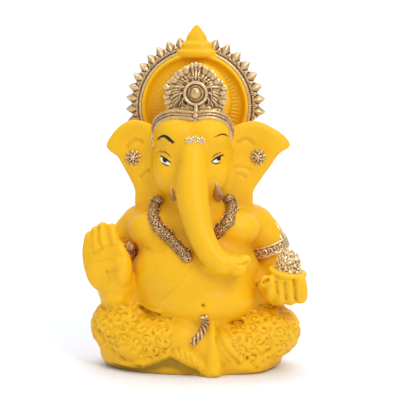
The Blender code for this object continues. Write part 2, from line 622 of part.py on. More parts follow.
def curls(mesh, x, y, z):
    """Comma-shaped pits with a ridge curled around each, over the cloth of both legs."""
    lift = np.zeros(len(x))
    rng = np.random.default_rng(7)
    for spot, normal in curl_spots(mesh):
        turn = rng.uniform(-0.8, 0.8) + (math.pi if rng.random() < 0.5 else 0)
        along = Vector((0, 0, 1)).cross(normal).normalized()
        rise = normal.cross(along)
        gap = np.stack([x - spot.x, y - spot.y, z - spot.z], 1)
        near = (gap ** 2).sum(1) < (4.5 * CURL_SIZE) ** 2
        u = gap[near] @ np.array(along) / CURL_SIZE
        v = gap[near] @ np.array(rise) / CURL_SIZE
        across = u * math.cos(turn) + v * math.sin(turn)
        up = v * math.cos(turn) - u * math.sin(turn)
        pit = np.exp(-((across / 1.3) ** 2) - (up / 0.75) ** 2)
        ring = np.exp(-(((np.hypot(across, up * 1.3) - 2.1) / 0.6) ** 2))
        lift[near] += CURL_DEPTH * (0.6 * ring * (across < 1.2) - pit)
    return lift


def curl_spots(mesh):
    """Places and normals in rows around the lap, a curl's width apart, as bricks are laid."""
    bm = bmesh.new()
    bm.from_mesh(mesh)
    tree = BVHTree.FromBMesh(bm)
    bm.free()
    spots = []
    for row, height in enumerate(CURL_ROWS):
        walked = CURL_SPACING * 0.5 * (row % 2)
        before = None
        for degrees in range(150, 391):
            a = math.radians(degrees)
            out = Vector((math.cos(a), math.sin(a), 0))
            start = Vector((0, -2, height)) + out * 90
            hit, normal = tree.ray_cast(start * PART, -out)[:2]
            if hit is None:
                continue
            hit = hit / PART
            walked += (hit - before).length if before else 0
            before = hit
            if walked > CURL_SPACING:
                walked = 0
                if not (PLAIN_FRONT[0] < hit.x < PLAIN_FRONT[1] and hit.y < 0):
                    spots.append((hit, normal))
    return spots


def thinned(mesh):
    """The mesh with as many triangles as the solid may have, most of them where it bends."""
    full = bpy.data.objects.new("full", mesh)
    bpy.context.scene.collection.objects.link(full)
    thin = full.modifiers.new("fewer faces", "DECIMATE")
    thin.ratio = TRIANGLES / sum(len(face.vertices) - 2 for face in mesh.polygons)
    thin.use_collapse_triangulate = True
    skin = evaluated_mesh(full)
    bpy.data.objects.remove(full)
    return skin


def set_down(mesh):
    """Cuts the casting flat at its ground line and stands it on the floor."""
    bm = bmesh.new()
    bm.from_mesh(mesh)
    geometry = bm.verts[:] + bm.edges[:] + bm.faces[:]
    bmesh.ops.bisect_plane(bm, geom=geometry, plane_co=(0, 0, GROUND * PART),
                           plane_no=(0, 0, -1), clear_outer=True)
    bmesh.ops.holes_fill(bm, edges=[edge for edge in bm.edges if edge.is_boundary])
    bmesh.ops.translate(bm, vec=(0, 0, -GROUND * PART), verts=bm.verts)
    bmesh.ops.triangulate(bm, faces=bm.faces)
    bm.to_mesh(mesh)
    bm.free()


def painted(colour):
    paint = bpy.data.materials.new("matte yellow paint")
    paint.use_nodes = True
    shader = paint.node_tree.nodes["Principled BSDF"]
    shader.inputs["Base Color"].default_value = colour
    shader.inputs["Roughness"].default_value = 0.5
    return paint


def build():
    for old in list(bpy.data.objects):
        bpy.data.objects.remove(old)
    body, face, dome, lap, flaps = torso(), head(), crown(), legs(), ears()
    low = foot_and_pleat()
    bm = bmesh.new()
    for mesh in (body, arms(), lap, base(), face, flaps):
        bm.from_mesh(mesh)
    figure = fill_creases(fused(bm, soft=0.8), 5.2)
    bm = bmesh.new()
    for mesh in (figure, raised_hand(), serving_hand(), low, trunk(), dome):
        bm.from_mesh(mesh)
    spikes(bm)
    crest(bm, front_of(dome))
    headband(bm, front_of(face, dome))
    brow_mark(bm, front_of(face))
    earrings(bm, front_of(flaps))
    tusks(bm, front_of(face))
    garland(bm, front_of(body))
    armbands(bm)
    tray_of_sweets(bm)
    belt_end(bm, front_of(body, lap, low))
    skin = fill_creases(fused(bm, soft=0.5), 1.2)
    carve(skin)
    skin = thinned(skin)
    set_down(skin)
    statue = bpy.data.objects.new("statue", skin)
    bpy.context.scene.collection.objects.link(statue)
    skin.materials.append(painted(YELLOW))
    skin.shade_smooth()
    skin.set_sharp_from_angle(angle=math.radians(60))


build()
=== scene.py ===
# Seated Ganesha statuette, cast plaster with yellow and gold paint.
import math

import bmesh
import bpy
import numpy as np
from mathutils import Euler, Matrix, Vector
from mathutils.bvhtree import BVHTree


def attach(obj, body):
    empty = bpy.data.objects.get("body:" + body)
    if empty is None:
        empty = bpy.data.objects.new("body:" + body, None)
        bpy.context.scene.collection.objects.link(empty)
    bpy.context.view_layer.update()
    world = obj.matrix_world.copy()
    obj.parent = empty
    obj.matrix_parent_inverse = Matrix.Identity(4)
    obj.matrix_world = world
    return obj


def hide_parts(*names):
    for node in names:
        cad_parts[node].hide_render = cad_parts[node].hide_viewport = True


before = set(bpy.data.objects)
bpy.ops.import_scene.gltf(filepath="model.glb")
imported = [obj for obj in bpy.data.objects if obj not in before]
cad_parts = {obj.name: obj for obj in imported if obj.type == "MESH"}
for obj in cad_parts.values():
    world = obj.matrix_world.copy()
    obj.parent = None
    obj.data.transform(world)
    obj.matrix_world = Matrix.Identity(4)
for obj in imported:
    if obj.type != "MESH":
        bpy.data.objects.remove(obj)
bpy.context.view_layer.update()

# Places are in parts, as in the solid: the figure stands 147.4 parts tall on its ground line
figure = {"height": 0.150, "partsTall": 147.4, "ground": 2.5, "skinGrid": 0.0005,
          "creaseRounds": (110, 14), "bodyTriangles": 168000}
unit = figure["height"] / figure["partsTall"]


# Shapes of clay

def smoothPath(points, steps=6, closed=False):
    ends = [Vector(p) for p in points]
    count = len(ends)
    path = []
    for i in range(count if closed else count - 1):
        if closed:
            a, b, c, d = (ends[(i + k) % count] for k in (-1, 0, 1, 2))
        else:
            a, b, c, d = (ends[min(max(i + k, 0), count - 1)] for k in (-1, 0, 1, 2))
        for step in range(steps):
            t = step / steps
            path.append(0.5 * ((2 * b) + (c - a) * t + (2 * a - 5 * b + 4 * c - d) * t**2
                               + (3 * b - a - 3 * c + d) * t**3))
    if not closed:
        path.append(ends[-1])
    return path


def arc(centre, radius, start, end, count, y):
    return [(centre[0] + radius * math.cos(a), y, centre[-1] + radius * math.sin(a))
            for a in np.linspace(math.radians(start), math.radians(end), count)]


def placing(centre, turn, scale):
    # turn is in degrees
    return Matrix.LocRotScale(Vector(centre), Euler([math.radians(a) for a in turn]), Vector(scale))


def addBlob(bm, centre, radii, turn=(0, 0, 0), fine=3):
    matrix = placing(Vector(centre) * unit, turn, Vector(radii) * unit)
    bmesh.ops.create_icosphere(bm, subdivisions=fine, radius=1, matrix=matrix)


def bridge(bm, rings):
    sides = len(rings[0])
    for low, high in zip(rings, rings[1:]):
        for k in range(sides):
            n = (k + 1) % sides
            bm.faces.new((low[k], low[n], high[n], high[k]))


def closeRings(bm, rings):
    bridge(bm, rings)
    bm.faces.new(list(reversed(rings[0])))
    bm.faces.new(rings[-1])


def addRoll(bm, points, radii, flat=1.0, flatAxis=(0, 1, 0), sides=16, steps=6):
    # a roll of clay with round ends; radii is one radius, or one for each point
    if isinstance(radii, (int, float)):
        radii = [radii] * len(points)
    path = smoothPath(points, steps)
    sizes = [v.x for v in smoothPath([(r, 0, 0) for r in radii], steps)]
    axis = Vector(flatAxis).normalized()
    side = (path[1] - path[0]).orthogonal().normalized()
    tipAngles = [math.pi / 2 * (k + 0.4) / 3 for k in range(3)]
    rings = []
    for i, point in enumerate(path):
        ahead = (path[min(i + 1, len(path) - 1)] - path[max(i - 1, 0)]).normalized()
        side = (side - ahead * side.dot(ahead)).normalized()
        up = ahead.cross(side)
        caps = [(0.0, 1.0)]
        if i == 0:
            caps = [(-math.cos(a), math.sin(a)) for a in tipAngles] + caps
        if i == len(path) - 1:
            caps = caps + [(math.cos(a), math.sin(a)) for a in reversed(tipAngles)]
        for along, share in caps:
            centre = point + ahead * along * sizes[i]
            ring = []
            for k in range(sides):
                turn = 2 * math.pi * k / sides
                out = (side * math.cos(turn) + up * math.sin(turn)) * sizes[i] * share
                out += axis * out.dot(axis) * (flat - 1)
                ring.append(bm.verts.new((centre + out) * unit))
            rings.append(ring)
    closeRings(bm, rings)


def addTurned(bm, profile, centre, turn=(0, 0, 0), stretch=(1, 1, 1), sides=48):
    # profile holds (radius, height) from one end to the other
    matrix = placing(centre, turn, stretch)
    rings = []
    for radius, height in profile:
        ring = []
        for k in range(sides):
            angle = 2 * math.pi * k / sides
            point = Vector((radius * math.cos(angle), radius * math.sin(angle), height))
            ring.append(bm.verts.new((matrix @ point) * unit))
        rings.append(ring)
    closeRings(bm, rings)


def addFlap(bm, outline, middle, thickness, surface):
    # a plate with worn edges over an outline in front view; surface gives its depth at a place
    border = smoothPath([(x, 0, z) for x, z in outline], steps=6, closed=True)
    half = thickness / 2
    rings = []
    for face, shares in ((-1, (0.3, 0.6, 0.85, 0.97, 1.0)), (1, (0.97, 0.85, 0.6, 0.3))):
        for share in shares:
            deep = half * math.sqrt(1 - share**6) * face
            ring = []
            for point in border:
                x = middle[0] + (point.x - middle[0]) * share
                z = middle[1] + (point.z - middle[1]) * share
                ring.append(bm.verts.new(Vector((x, surface(x, z) + deep, z)) * unit))
            rings.append(ring)
    near, far = (bm.verts.new(Vector((middle[0], surface(*middle) + face * half, middle[1])) * unit)
                 for face in (-1, 1))
    bridge(bm, rings)
    for k in range(len(border)):
        n = (k + 1) % len(border)
        bm.faces.new((near, rings[0][n], rings[0][k]))
        bm.faces.new((far, rings[-1][k], rings[-1][n]))


def linked(name, data):
    made = bpy.data.objects.new(name, data)
    bpy.context.scene.collection.objects.link(made)
    return made


def evaluatedMesh(made):
    graph = bpy.context.evaluated_depsgraph_get()
    graph.update()
    return bpy.data.meshes.new_from_object(made.evaluated_get(graph))


def withModifiers(mesh, kinds):
    # kinds: (type, settings) in stacking order; gives the finished mesh
    made = linked("worked", mesh)
    for kind, settings in kinds:
        modifier = made.modifiers.new(kind.lower(), kind)
        for name, value in settings.items():
            setattr(modifier, name, value)
    result = evaluatedMesh(made)
    bpy.data.objects.remove(made)
    return result


def castSkin(mesh, grid, rounds=1):
    # one skin over all the lumps, as thin as the grid, smoothed for some rounds
    return withModifiers(mesh, [("REMESH", {"mode": "VOXEL", "voxel_size": grid}),
                                ("SMOOTH", {"factor": 0.5, "iterations": rounds})])


def closedMesh(bm, name):
    # the mesh of closed lumps, its faces turned outwards
    bmesh.ops.recalc_face_normals(bm, faces=bm.faces)
    mesh = bpy.data.meshes.new(name)
    bm.to_mesh(mesh)
    bm.free()
    return mesh


def fused(bm, soft):
    # soft is how far, in parts, the creases between the lumps are smoothed
    grid = figure["skinGrid"]
    return castSkin(closedMesh(bm, "lumps"), grid, max(1, round((soft * unit / grid) ** 2)))


def together(*meshes):
    bm = bmesh.new()
    for mesh in meshes:
        bm.from_mesh(mesh)
    return bm


def treeOf(*meshes):
    bm = together(*meshes)
    tree = BVHTree.FromBMesh(bm)
    bm.free()
    return tree


def frontOf(*meshes):
    # gives the front surface's depth, in parts, at a place in front view
    tree = treeOf(*meshes)

    def depth(x, z):
        hit = tree.ray_cast(Vector((x, -200, z)) * unit, Vector((0, 1, 0)))[0]
        return hit.y / unit if hit else 0.0

    return depth


def laidOn(depth, places, proud=0.0):
    return [(x, depth(x, z) - proud, z) for x, z in places]


def vectorsOf(collection, name):
    values = np.empty(len(collection) * 3, np.float32)
    collection.foreach_get(name, values)
    return values.reshape(-1, 3).astype(float)


def moveTo(mesh, co):
    mesh.vertices.foreach_set("co", co.astype(np.float32).ravel())
    mesh.update()


def edgeEnds(mesh):
    # each edge's two ends, and a mean at each point of what its edges hand to either end
    total = len(mesh.vertices)
    pairs = np.empty(len(mesh.edges) * 2, np.int32)
    mesh.edges.foreach_get("vertices", pairs)
    a, b = pairs.reshape(-1, 2).T
    count = np.maximum(np.bincount(a, minlength=total) + np.bincount(b, minlength=total), 1)

    def mean(toFirst, toSecond):
        return (np.bincount(a, toFirst, total) + np.bincount(b, toSecond, total)) / count

    return a, b, mean


# The yellow body

arms = {"right": [(25, 3, 62), (31, 2, 56.8), (33.4, 3, 49.5), (33.5, 4, 42.5)],
        "left": [(-24, 3, 62), (-30.4, 2, 56.6), (-33.6, 1, 48), (-34, 0, 40.5)],
        "radii": (10, 8.1, 7.3, 7.0)}
halo = {"centre": (-1.0, 9.0, 114.6), "radius": 23.4, "thickness": 7.5, "rim": 0.95,
        "recess": 1.6}
tray = {"centre": (40.8, -18.5, 45.4), "radius": 8.5, "thickness": 3.2, "turn": (6, 9, 0)}


def fillCreases(mesh, rounds):
    # as clay is pressed into a crease: only hollows move, and only outwards
    shallow = 0.000003
    co = vectorsOf(mesh.vertices, "co")
    a, b, mean = edgeEnds(mesh)
    for done in range(rounds):
        if done % 8 == 0:  # the outward directions are taken again now and then
            moveTo(mesh, co)
            normal = vectorsOf(mesh.vertices, "normal")
        middle = np.stack([mean(co[b, k], co[a, k]) for k in range(3)], 1)
        hollow = ((middle - co) * normal).sum(1) - shallow
        co += normal * np.maximum(hollow, 0)[:, None]
    moveTo(mesh, co)
    return mesh


def torsoMesh():
    bm = bmesh.new()
    addBlob(bm, (0.5, -7, 42), (28.5, 22.5, 22))  # belly
    addBlob(bm, (2.5, -10, 33.5), (26, 20.5, 14))  # its low fold
    addBlob(bm, (0, 0, 63), (24, 17.5, 14))  # chest
    addBlob(bm, (0, 8, 50), (28, 14.5, 27))  # back
    addBlob(bm, (0, 5, 22), (33, 20, 20))  # seat
    addBlob(bm, (-27, -3, 34), (9, 13, 13))  # hips
    addBlob(bm, (27.5, -2, 34), (9, 13, 11))
    addBlob(bm, (-22, 3, 62.5), (12, 12, 10))  # shoulders
    addBlob(bm, (22.5, 3, 62.8), (12, 12, 10))
    addBlob(bm, (-15.5, -7.5, 62), (14, 10, 9))  # breasts
    addBlob(bm, (16.5, -9, 63), (12.5, 10.5, 8.8))
    addRoll(bm, [(0, 2, 68), (0, 0, 90)], [14, 13])  # neck
    return fused(bm, soft=4)


def armsMesh():
    bm = bmesh.new()
    addRoll(bm, arms["right"], arms["radii"])
    addRoll(bm, [(33.5, 4, 41.5), (34.5, -6, 39), (36.5, -16, 37)], (7.6, 7.2, 6.2))  # forearm
    addRoll(bm, arms["left"], arms["radii"])
    addRoll(bm, [(-34, 0, 39), (-35, -8, 36), (-33.5, -14, 35)], (7.6, 7.4, 7.2))  # forearm
    return fused(bm, soft=1.5)


def raisedHandMesh():
    bm = bmesh.new()
    addBlob(bm, (-37, -16.5, 46), (9.6, 4.6, 11))  # palm
    addBlob(bm, (-33.4, -16, 40), (8.2, 5.4, 8.4))  # heel of the hand
    addBlob(bm, (-30.2, -18.4, 46), (4.5, 4.2, 8.8))  # root of the thumb
    addRoll(bm, [(-30, -18.2, 46), (-30.2, -18.4, 52), (-32, -18, 57)], (3.9, 3.0, 2.0))
    fingers = (
        ([(-33.6, -17, 50), (-33.9, -17.3, 58), (-34.8, -16.4, 63.6)], (3.4, 2.8, 2.3)),
        ([(-38, -17.4, 51), (-38.3, -17.7, 59), (-38.8, -16.6, 64.2)], (3.1, 2.9, 2.3)),
        ([(-41.8, -17, 50), (-42, -17.3, 57), (-42, -16.2, 62.4)], (2.9, 2.6, 2.1)),
        ([(-44.6, -16, 46), (-45.3, -16, 53), (-44.8, -15.2, 60)], (2.6, 2.6, 2.1)),
    )
    for points, radii in fingers:
        addRoll(bm, points, radii)
    return fused(bm, soft=0.8)


def servingHandMesh():
    bm = bmesh.new()
    addBlob(bm, (39.5, -16, 37.8), (9.5, 7.4, 6))  # palm under the tray
    # fingers bent up to the tray's edge
    for x, radius, low in ((34.3, 2.6, 36.4), (38.4, 2.4, 34.8), (42.3, 2.4, 34.6), (46.7, 2.9, 36)):
        addRoll(bm, [(x * 0.9 + 4, -16, low - 0.8), (x, -22, low), (x + 0.2, -24.2, low + 4),
                     (x, -24, 43.6)], (radius, radius, radius * 0.95, radius * 0.8))
    addRoll(bm, [(31, -14, 39), (31.2, -20, 41), (31.6, -23, 42.8)], (3.4, 3.0, 2.6))  # thumb
    # a small curl at the thumb's end
    addRoll(bm, arc((31.8, 0, 42.6), 1.8, -150, 120, 9, -24.4), 0.9, sides=10, steps=3)
    return fused(bm, soft=0.7)


def trayMesh():
    bm = bmesh.new()
    half = tray["thickness"] / 2
    wide = tray["radius"]
    profile = ((wide - 3, -half), (wide, half * 0.2), (wide - 0.4, half), (wide - 1.4, half))
    addTurned(bm, profile, tray["centre"], turn=tray["turn"])
    return fused(bm, soft=0.4)


def legsMesh():
    bm = bmesh.new()
    addBlob(bm, (-29.6, -6.5, 19.6), (15.9, 17.5, 13.6))  # knees, each on a lower lump
    addBlob(bm, (-26.4, -6.5, 8.5), (15.3, 17.5, 9.5))
    addBlob(bm, (30.6, -6.5, 18.4), (15.5, 17.5, 12.4))
    addBlob(bm, (24.8, -6.5, 8), (13.9, 17, 9.5))
    addRoll(bm, [(-12, 4, 18), (-27, -5, 18)], (15, 14))  # thighs
    addRoll(bm, [(12, 4, 18), (27, -5, 18)], (15, 13.5))
    addRoll(bm, [(-31, -12, 15.5), (-17, -20.5, 16), (-4, -23.5, 18)], (10.8, 9.6, 7.8))  # shin
    addBlob(bm, (-20, -17.5, 12.5), (16, 11.5, 8))
    addRoll(bm, [(30, -12, 14), (18, -20, 13), (7, -23.5, 14)], (11, 9.6, 8.5))  # shin
    addBlob(bm, (19, -16.5, 6), (15.5, 11.5, 9))
    addBlob(bm, (0, -10, 15), (26, 16, 13.5))  # lap
    addBlob(bm, (5.5, -20, 21.5), (10, 6, 6))
    return fused(bm, soft=2.0)


def footMesh():
    bm = bmesh.new()
    hem = [(-35.5, -17.5, 8), (-29, -23.4, 6.6), (-21.7, -27, 6.6), (-15.5, -28.4, 8),
           (-8.4, -29.2, 11.2), (-1.5, -28.6, 15.4)]
    addRoll(bm, hem, (1.6, 1.8, 1.8, 1.7, 1.6, 1.2), sides=12)  # hem of the cloth
    addRoll(bm, [(-7.6, -26, 12), (-3.4, -28.8, 11.8), (1.2, -30.2, 9.8)], (3.2, 3.7, 3))
    addBlob(bm, (-1, -26, 7), (9, 5, 5))  # sole
    # toes, then the two pleats that hang beside them
    for x, z, radius in ((2.2, 9.8, 1.9), (4.2, 8.0, 1.5), (5.8, 6.6, 1.3), (7.1, 5.4, 1.15)):
        addRoll(bm, [(x - 3.4, -30, z + 0.9), (x, -32, z - 0.3)], (radius, radius * 0.95))
    addRoll(bm, [(9.1, -25.6, 24.6), (9.5, -28.6, 18.5), (10, -30.4, 10), (10.3, -31.2, 0)],
            (1.0, 2.6, 3.4, 3.8))
    addRoll(bm, [(4.6, -26.4, 18.6), (5.6, -28.6, 11), (6.8, -29.8, 0)], (1.4, 2.5, 3.0))
    return fused(bm, soft=0.6)


base = {"centre": (-2.4, -4, 0), "half": 37.0, "high": 9.5, "deepShare": 52 / 74,
        "wornHigh": 2, "wearAndShade": 0.06}


def baseMesh():
    bm = bmesh.new()
    half, high = base["half"], base["high"]
    profile = ((half - 2, -3), (half, figure["ground"]), (half + 0.6, high * 0.7), (half, high))
    addTurned(bm, profile, base["centre"], stretch=(1, base["deepShare"], 1))
    front = [(-14, -22, -1), (2, -27, -1), (10, -27, -1), (24, -20, -1)]
    addRoll(bm, front, 4.5, flat=1.4, flatAxis=(0, 0, 1))
    return fused(bm, soft=1.0)


def headMesh():
    bm = bmesh.new()
    addBlob(bm, (-1.1, -1, 100.4), (17.5, 16, 13.8))  # skull
    addBlob(bm, (-1.2, -4.5, 96), (17.4, 14, 13))  # face
    addBlob(bm, (-6, -5.4, 103.4), (11.4, 12, 9.6))  # brows
    addBlob(bm, (4.9, -5.4, 103.4), (11.3, 12, 9.6))
    addBlob(bm, (-8.6, -6.5, 88.4), (10, 11.5, 12))  # cheeks
    addBlob(bm, (5.8, -6.5, 88.2), (9.6, 11.5, 12))
    addBlob(bm, (-0.4, -7, 80), (10, 11, 8.5))  # jaw
    # the trunk's root, from the brow down
    addRoll(bm, [(-0.2, -6, 104), (0, -12.8, 98), (0.2, -17.2, 91), (0.4, -19.8, 83)],
            (6, 6.6, 6.8, 6.8))
    return fused(bm, soft=3.5)


def trunkMesh():
    # first what holds the trunk to the belly, then the trunk itself
    bm = bmesh.new()
    addRoll(bm, [(0.4, -12, 82), (1, -16, 73), (3, -19, 65), (6.4, -22, 57)], (5.6, 5.4, 5, 4.6))
    addBlob(bm, (13.4, -25, 49), (10, 6, 3.8))
    path = [(0, -16, 93), (0.1, -19.2, 86), (0.6, -22.3, 77.5), (2.6, -25.4, 69),
            (5.2, -28, 61.6), (8.6, -29.8, 55.6), (12.4, -30.6, 52), (16.4, -30.4, 50.6),
            (20.2, -29.8, 50.6), (23.2, -29.2, 52)]
    addRoll(bm, path, (6.4, 6.9, 6.9, 6.3, 5.6, 5.3, 4.8, 4.3, 3.8, 2.9), sides=28)
    addBlob(bm, (20.2, -30.6, 49.8), (4.5, 3.9, 4.2))  # curled tip
    addBlob(bm, (22.4, -31.3, 52.6), (2.7, 1.7, 1.5), turn=(0, -8, 0))
    return fused(bm, soft=0.8)


def earsMesh():
    bm = bmesh.new()
    left = [(-14, 104), (-21, 108.4), (-27.7, 109.3), (-32.4, 107.3), (-36.4, 103.3),
            (-39.4, 98.2), (-37.8, 95.4), (-34.4, 93), (-32, 89), (-28.6, 83), (-26.4, 78),
            (-26, 71), (-18, 71), (-11, 78), (-9, 92)]
    right = [(12, 104), (20, 108.4), (26.8, 109.2), (33.4, 106.4), (38.8, 102.6),
             (41.2, 98.2), (36.6, 95), (32.8, 89.6), (28.4, 83.4), (25.2, 78), (24.6, 71),
             (17, 71), (10, 78), (8, 92)]

    def sweep(x, z):
        away = max(0.0, abs(x) - 14)
        hollow = 2.2 * math.exp(-((away - 11) / 7) ** 2) * math.exp(-((z - 97) / 11) ** 2)
        return -4.5 + 0.16 * away + hollow

    addFlap(bm, left, (-23, 93), 5.2, sweep)
    addFlap(bm, right, (22, 93), 5.2, sweep)
    return fused(bm, soft=0.9)


def crownMesh():
    bm = bmesh.new()
    x, y, z = halo["centre"]
    half = halo["thickness"] / 2
    wide, floor = halo["radius"], half - halo["recess"]
    addBlob(bm, (x + 1.5, 2.5, z + 2.6), (14.5, 11.5, 16.8))  # dome of the crown
    addBlob(bm, (x, y - floor + 0.6, z), (19.2, 2.4, 19.2))  # low swelling in the dish
    disc = ((0.1, -half), (wide - 1, -half), (wide, -half + 1), (wide, half - 1),
            (wide - 0.5, half), (wide - 1.8, half), (wide - 2.8, floor), (0.1, floor))
    addTurned(bm, disc, halo["centre"], turn=(90, 0, 0), sides=96)
    rim = arc(halo["centre"], wide - halo["rim"], -60, 240, 33, y - half)
    addRoll(bm, rim, halo["rim"], sides=12)
    finial = ((7.4, -2.3), (8.8, -1.6), (9.2, -0.6), (9.1, 0.6), (8.2, 1.3), (6.3, 1.7),
              (6.8, 2.2), (7.1, 3.1), (6.7, 4.2), (5.8, 4.8), (4.2, 5.1), (4.55, 5.8),
              (4.6, 6.5), (4.1, 7.6), (3.3, 8.7), (2.5, 9.8), (1.8, 10.8), (1.2, 11.7),
              (0.4, 12.4))
    addTurned(bm, finial, (x + 0.6, y - 1, z + wide), stretch=(1, 0.62, 1))
    return fused(bm, soft=0.3)


# Carving

def strokeGap(x, z, places, halfWidths):
    # how far each point is outside a stroke in front view; below 0 inside it
    path = [(p.x, p.z) for p in smoothPath([(a, 0, b) for a, b in places], steps=5)]
    wide = [v.x for v in smoothPath([(w, 0, 0) for w in halfWidths], steps=5)]
    best = np.full(len(x), np.inf)
    for (ax, az), (bx, bz), wa, wb in zip(path, path[1:], wide, wide[1:]):
        dx, dz = bx - ax, bz - az
        t = np.clip(((x - ax) * dx + (z - az) * dz) / (dx * dx + dz * dz), 0, 1)
        gap = np.hypot(x - ax - t * dx, z - az - t * dz) - (wa + (wb - wa) * t)
        best = np.minimum(best, gap)
    return best


def carvedLines():
    # (places in front view, width, depth); a negative depth is a ridge
    lines = [
        # the navel and the line over the belly
        ([(5.6, 32.8), (5.7, 32.7)], 1.0, 1.4),
        ([(0.8, 50), (-4.6, 42), (-13.4, 33.6)], 0.5, 0.18),
        # the raised hand, between its fingers and over its palm
        ([(-43.4, 62.3), (-43.4, 56.7), (-42.6, 53.7)], 0.95, 0.5),
        ([(-40.8, 64.1), (-40.4, 58.9), (-38.7, 55.5)], 0.95, 0.55),
        ([(-36.9, 65.4), (-36.1, 61.1), (-34.8, 57.3)], 0.95, 0.55),
        ([(-42.6, 52.8), (-38.3, 55.5), (-34.4, 56.4), (-30.5, 57.7)], 0.8, 0.32),
        ([(-30.5, 52.5), (-30.1, 49.1), (-32.7, 46.4), (-36.6, 45.1)], 1.3, 0.5),
        ([(-36.6, 45.1), (-35.7, 42.1), (-36.6, 39.4)], 0.7, 0.25),
        ([(-41.8, 49.4), (-37.9, 50.3), (-34.8, 50.8)], 0.6, 0.2),
        ([(-38.6, 48), (-37.8, 43)], 4.2, 0.7),
        ([(-29.8, 50), (-29, 42)], 2.6, -0.6),
        # under the breast and along the waist
        ([(-21.6, 55.6), (-16.6, 53.9), (-11.4, 55.6)], 0.9, 0.35),
        ([(-23.4, 29.8), (-18.9, 28), (-13.6, 27.4)], 0.7, 0.7),
        ([(-23.8, 31.2), (-18.9, 29.6), (-13.2, 28.9)], 0.8, -0.6),
        # the folds in both ears
        ([(-29.3, 97.8), (-27.7, 99.7), (-25.6, 100.5), (-23.5, 99.8)], 1.0, 0.65),
        ([(-23.5, 84.9), (-22, 86.8), (-20.3, 87.8)], 0.9, 0.65),
        ([(-18.6, 90.4), (-19.1, 93), (-18.6, 96.2), (-17.8, 97.9)], 0.6, 0.45),
        ([(-16.9, 89.8), (-17.3, 93.1), (-16.6, 95.9)], 0.6, 0.4),
        ([(19.2, 100.3), (21.2, 101.4), (23.4, 100.9), (24.9, 99.3)], 1.0, 0.6),
        ([(17.6, 89.5), (20.8, 89.3), (23.9, 88.2)], 0.9, 0.42),
        ([(18.7, 86.4), (20.2, 86.1), (21.5, 85.1)], 0.9, 0.4),
        ([(15.8, 98.4), (16.8, 95.9), (16.5, 91.4)], 0.5, 0.35),
        # the folds of cloth beside the pleat
        ([(12, 22.5), (12.6, 18.8), (16.3, 12.6), (20.6, 7.8)], 1.0, 0.8),
        ([(13.7, 23), (16.8, 20.5), (19.8, 14.3), (24.2, 10.1), (28.5, 5.8)], 1.0, 0.8),
        ([(17.9, 23.4), (19.7, 18.3), (23, 14), (27.6, 10.6)], 1.0, 0.7),
        ([(11.4, 19.4), (14.2, 12.6), (16.8, 8.6)], 0.8, 0.5),
        # the trunk's mouth and its bend, then the serving hand's thumb and wrist
        ([(20.4, 51.5), (22.4, 51.3), (24.6, 52.2)], 0.5, 0.5),
        ([(17.2, 54), (16.2, 51), (17.2, 47.6)], 0.6, 0.2),
        ([(30.3, 42.1), (32.6, 43.7)], 0.65, 1.3),
        ([(27.4, 44.8), (26.6, 41.6), (27.6, 39.4)], 0.7, 0.5),
    ]
    # between the serving hand's fingers
    for places, depth in (([(36.3, 43), (36.9, 37.9)], 0.55), ([(39.9, 42.2), (40.5, 35.4)], 0.65),
                          ([(43.7, 43.6), (44.6, 35)], 0.7), ([(47.7, 42.4), (46.9, 36.3)], 0.4)):
        lines.append((places, 0.6, depth))
    # the eye sockets, each with its eyeball
    for side, x, z in ((1, -11.8, 93.4), (-1, 11, 93.8)):
        lines.append(([(x - 2, z + side), (x + 2, z - side)], 4.2, 0.9))
        lines.append(([(x - 1, z), (x + 1, z)], 1.9, -0.6))
    # the drape over the knee
    for start, low in ((-36.4, 12.4), (-33, 10), (-29.6, 8.2), (-39.2, 15.6), (-41, 19)):
        lines.append(([(start - 3.4, low + 7), (start, low), (start + 8, low - 2.2)], 0.8, 0.5))
    # between the toes
    for x, z in ((-4.4, 13.4), (-1.8, 12.0), (0.6, 10.4), (3.0, 8.6), (5.0, 7.2)):
        lines.append(([(x - 0.5, z + 1.2), (x + 0.7, z - 1.9)], 0.5, 0.5))
    return lines


curl = {"spacing": 4.9, "rows": (9.4, 13.6, 17.8, 22, 26, 29.4), "depth": 0.72,
        "plainFront": (-6.5, 17), "seed": 7, "swirl": 3.3, "ridge": 0.42, "waves": 14,
        "size": (0.9, 1.5), "wound": (0.6, 1.05), "sideways": 1.4, "upwards": 1.2}


def curlSpots(mesh):
    # places in rows round the legs, evenly spaced along the skin
    tree = treeOf(mesh)
    spots = []
    for row, height in enumerate(curl["rows"]):
        walked = curl["spacing"] * 0.5 * (row % 2)
        before = None
        for degrees in np.arange(150, 391, 0.5):
            a = math.radians(degrees)
            out = Vector((math.cos(a), math.sin(a), 0))
            start = Vector((0, -2, height)) + out * 90
            hit, normal = tree.ray_cast(start * unit, -out)[:2]
            if hit is None:
                continue
            hit = hit / unit
            walked += (hit - before).length if before else 0
            before = hit
            if walked > curl["spacing"]:
                walked = 0
                if not (curl["plainFront"][0] < hit.x < curl["plainFront"][1] and hit.y < 0):
                    spots.append((hit, normal))
    return spots


def swirls(x, y, z):
    # a labyrinth of low ridges, as the leafy pattern on the cloth, from waves in all directions
    rng = np.random.default_rng(curl["seed"])
    total = np.zeros(len(x))
    for _ in range(curl["waves"]):
        way = rng.normal(size=3)
        way *= 2 * math.pi / curl["swirl"] / np.linalg.norm(way)
        total += np.cos(x * way[0] + y * way[1] + z * way[2] + rng.uniform(0, 2 * math.pi))
    return np.tanh(1.1 * total / math.sqrt(curl["waves"] / 2) + 0.45)


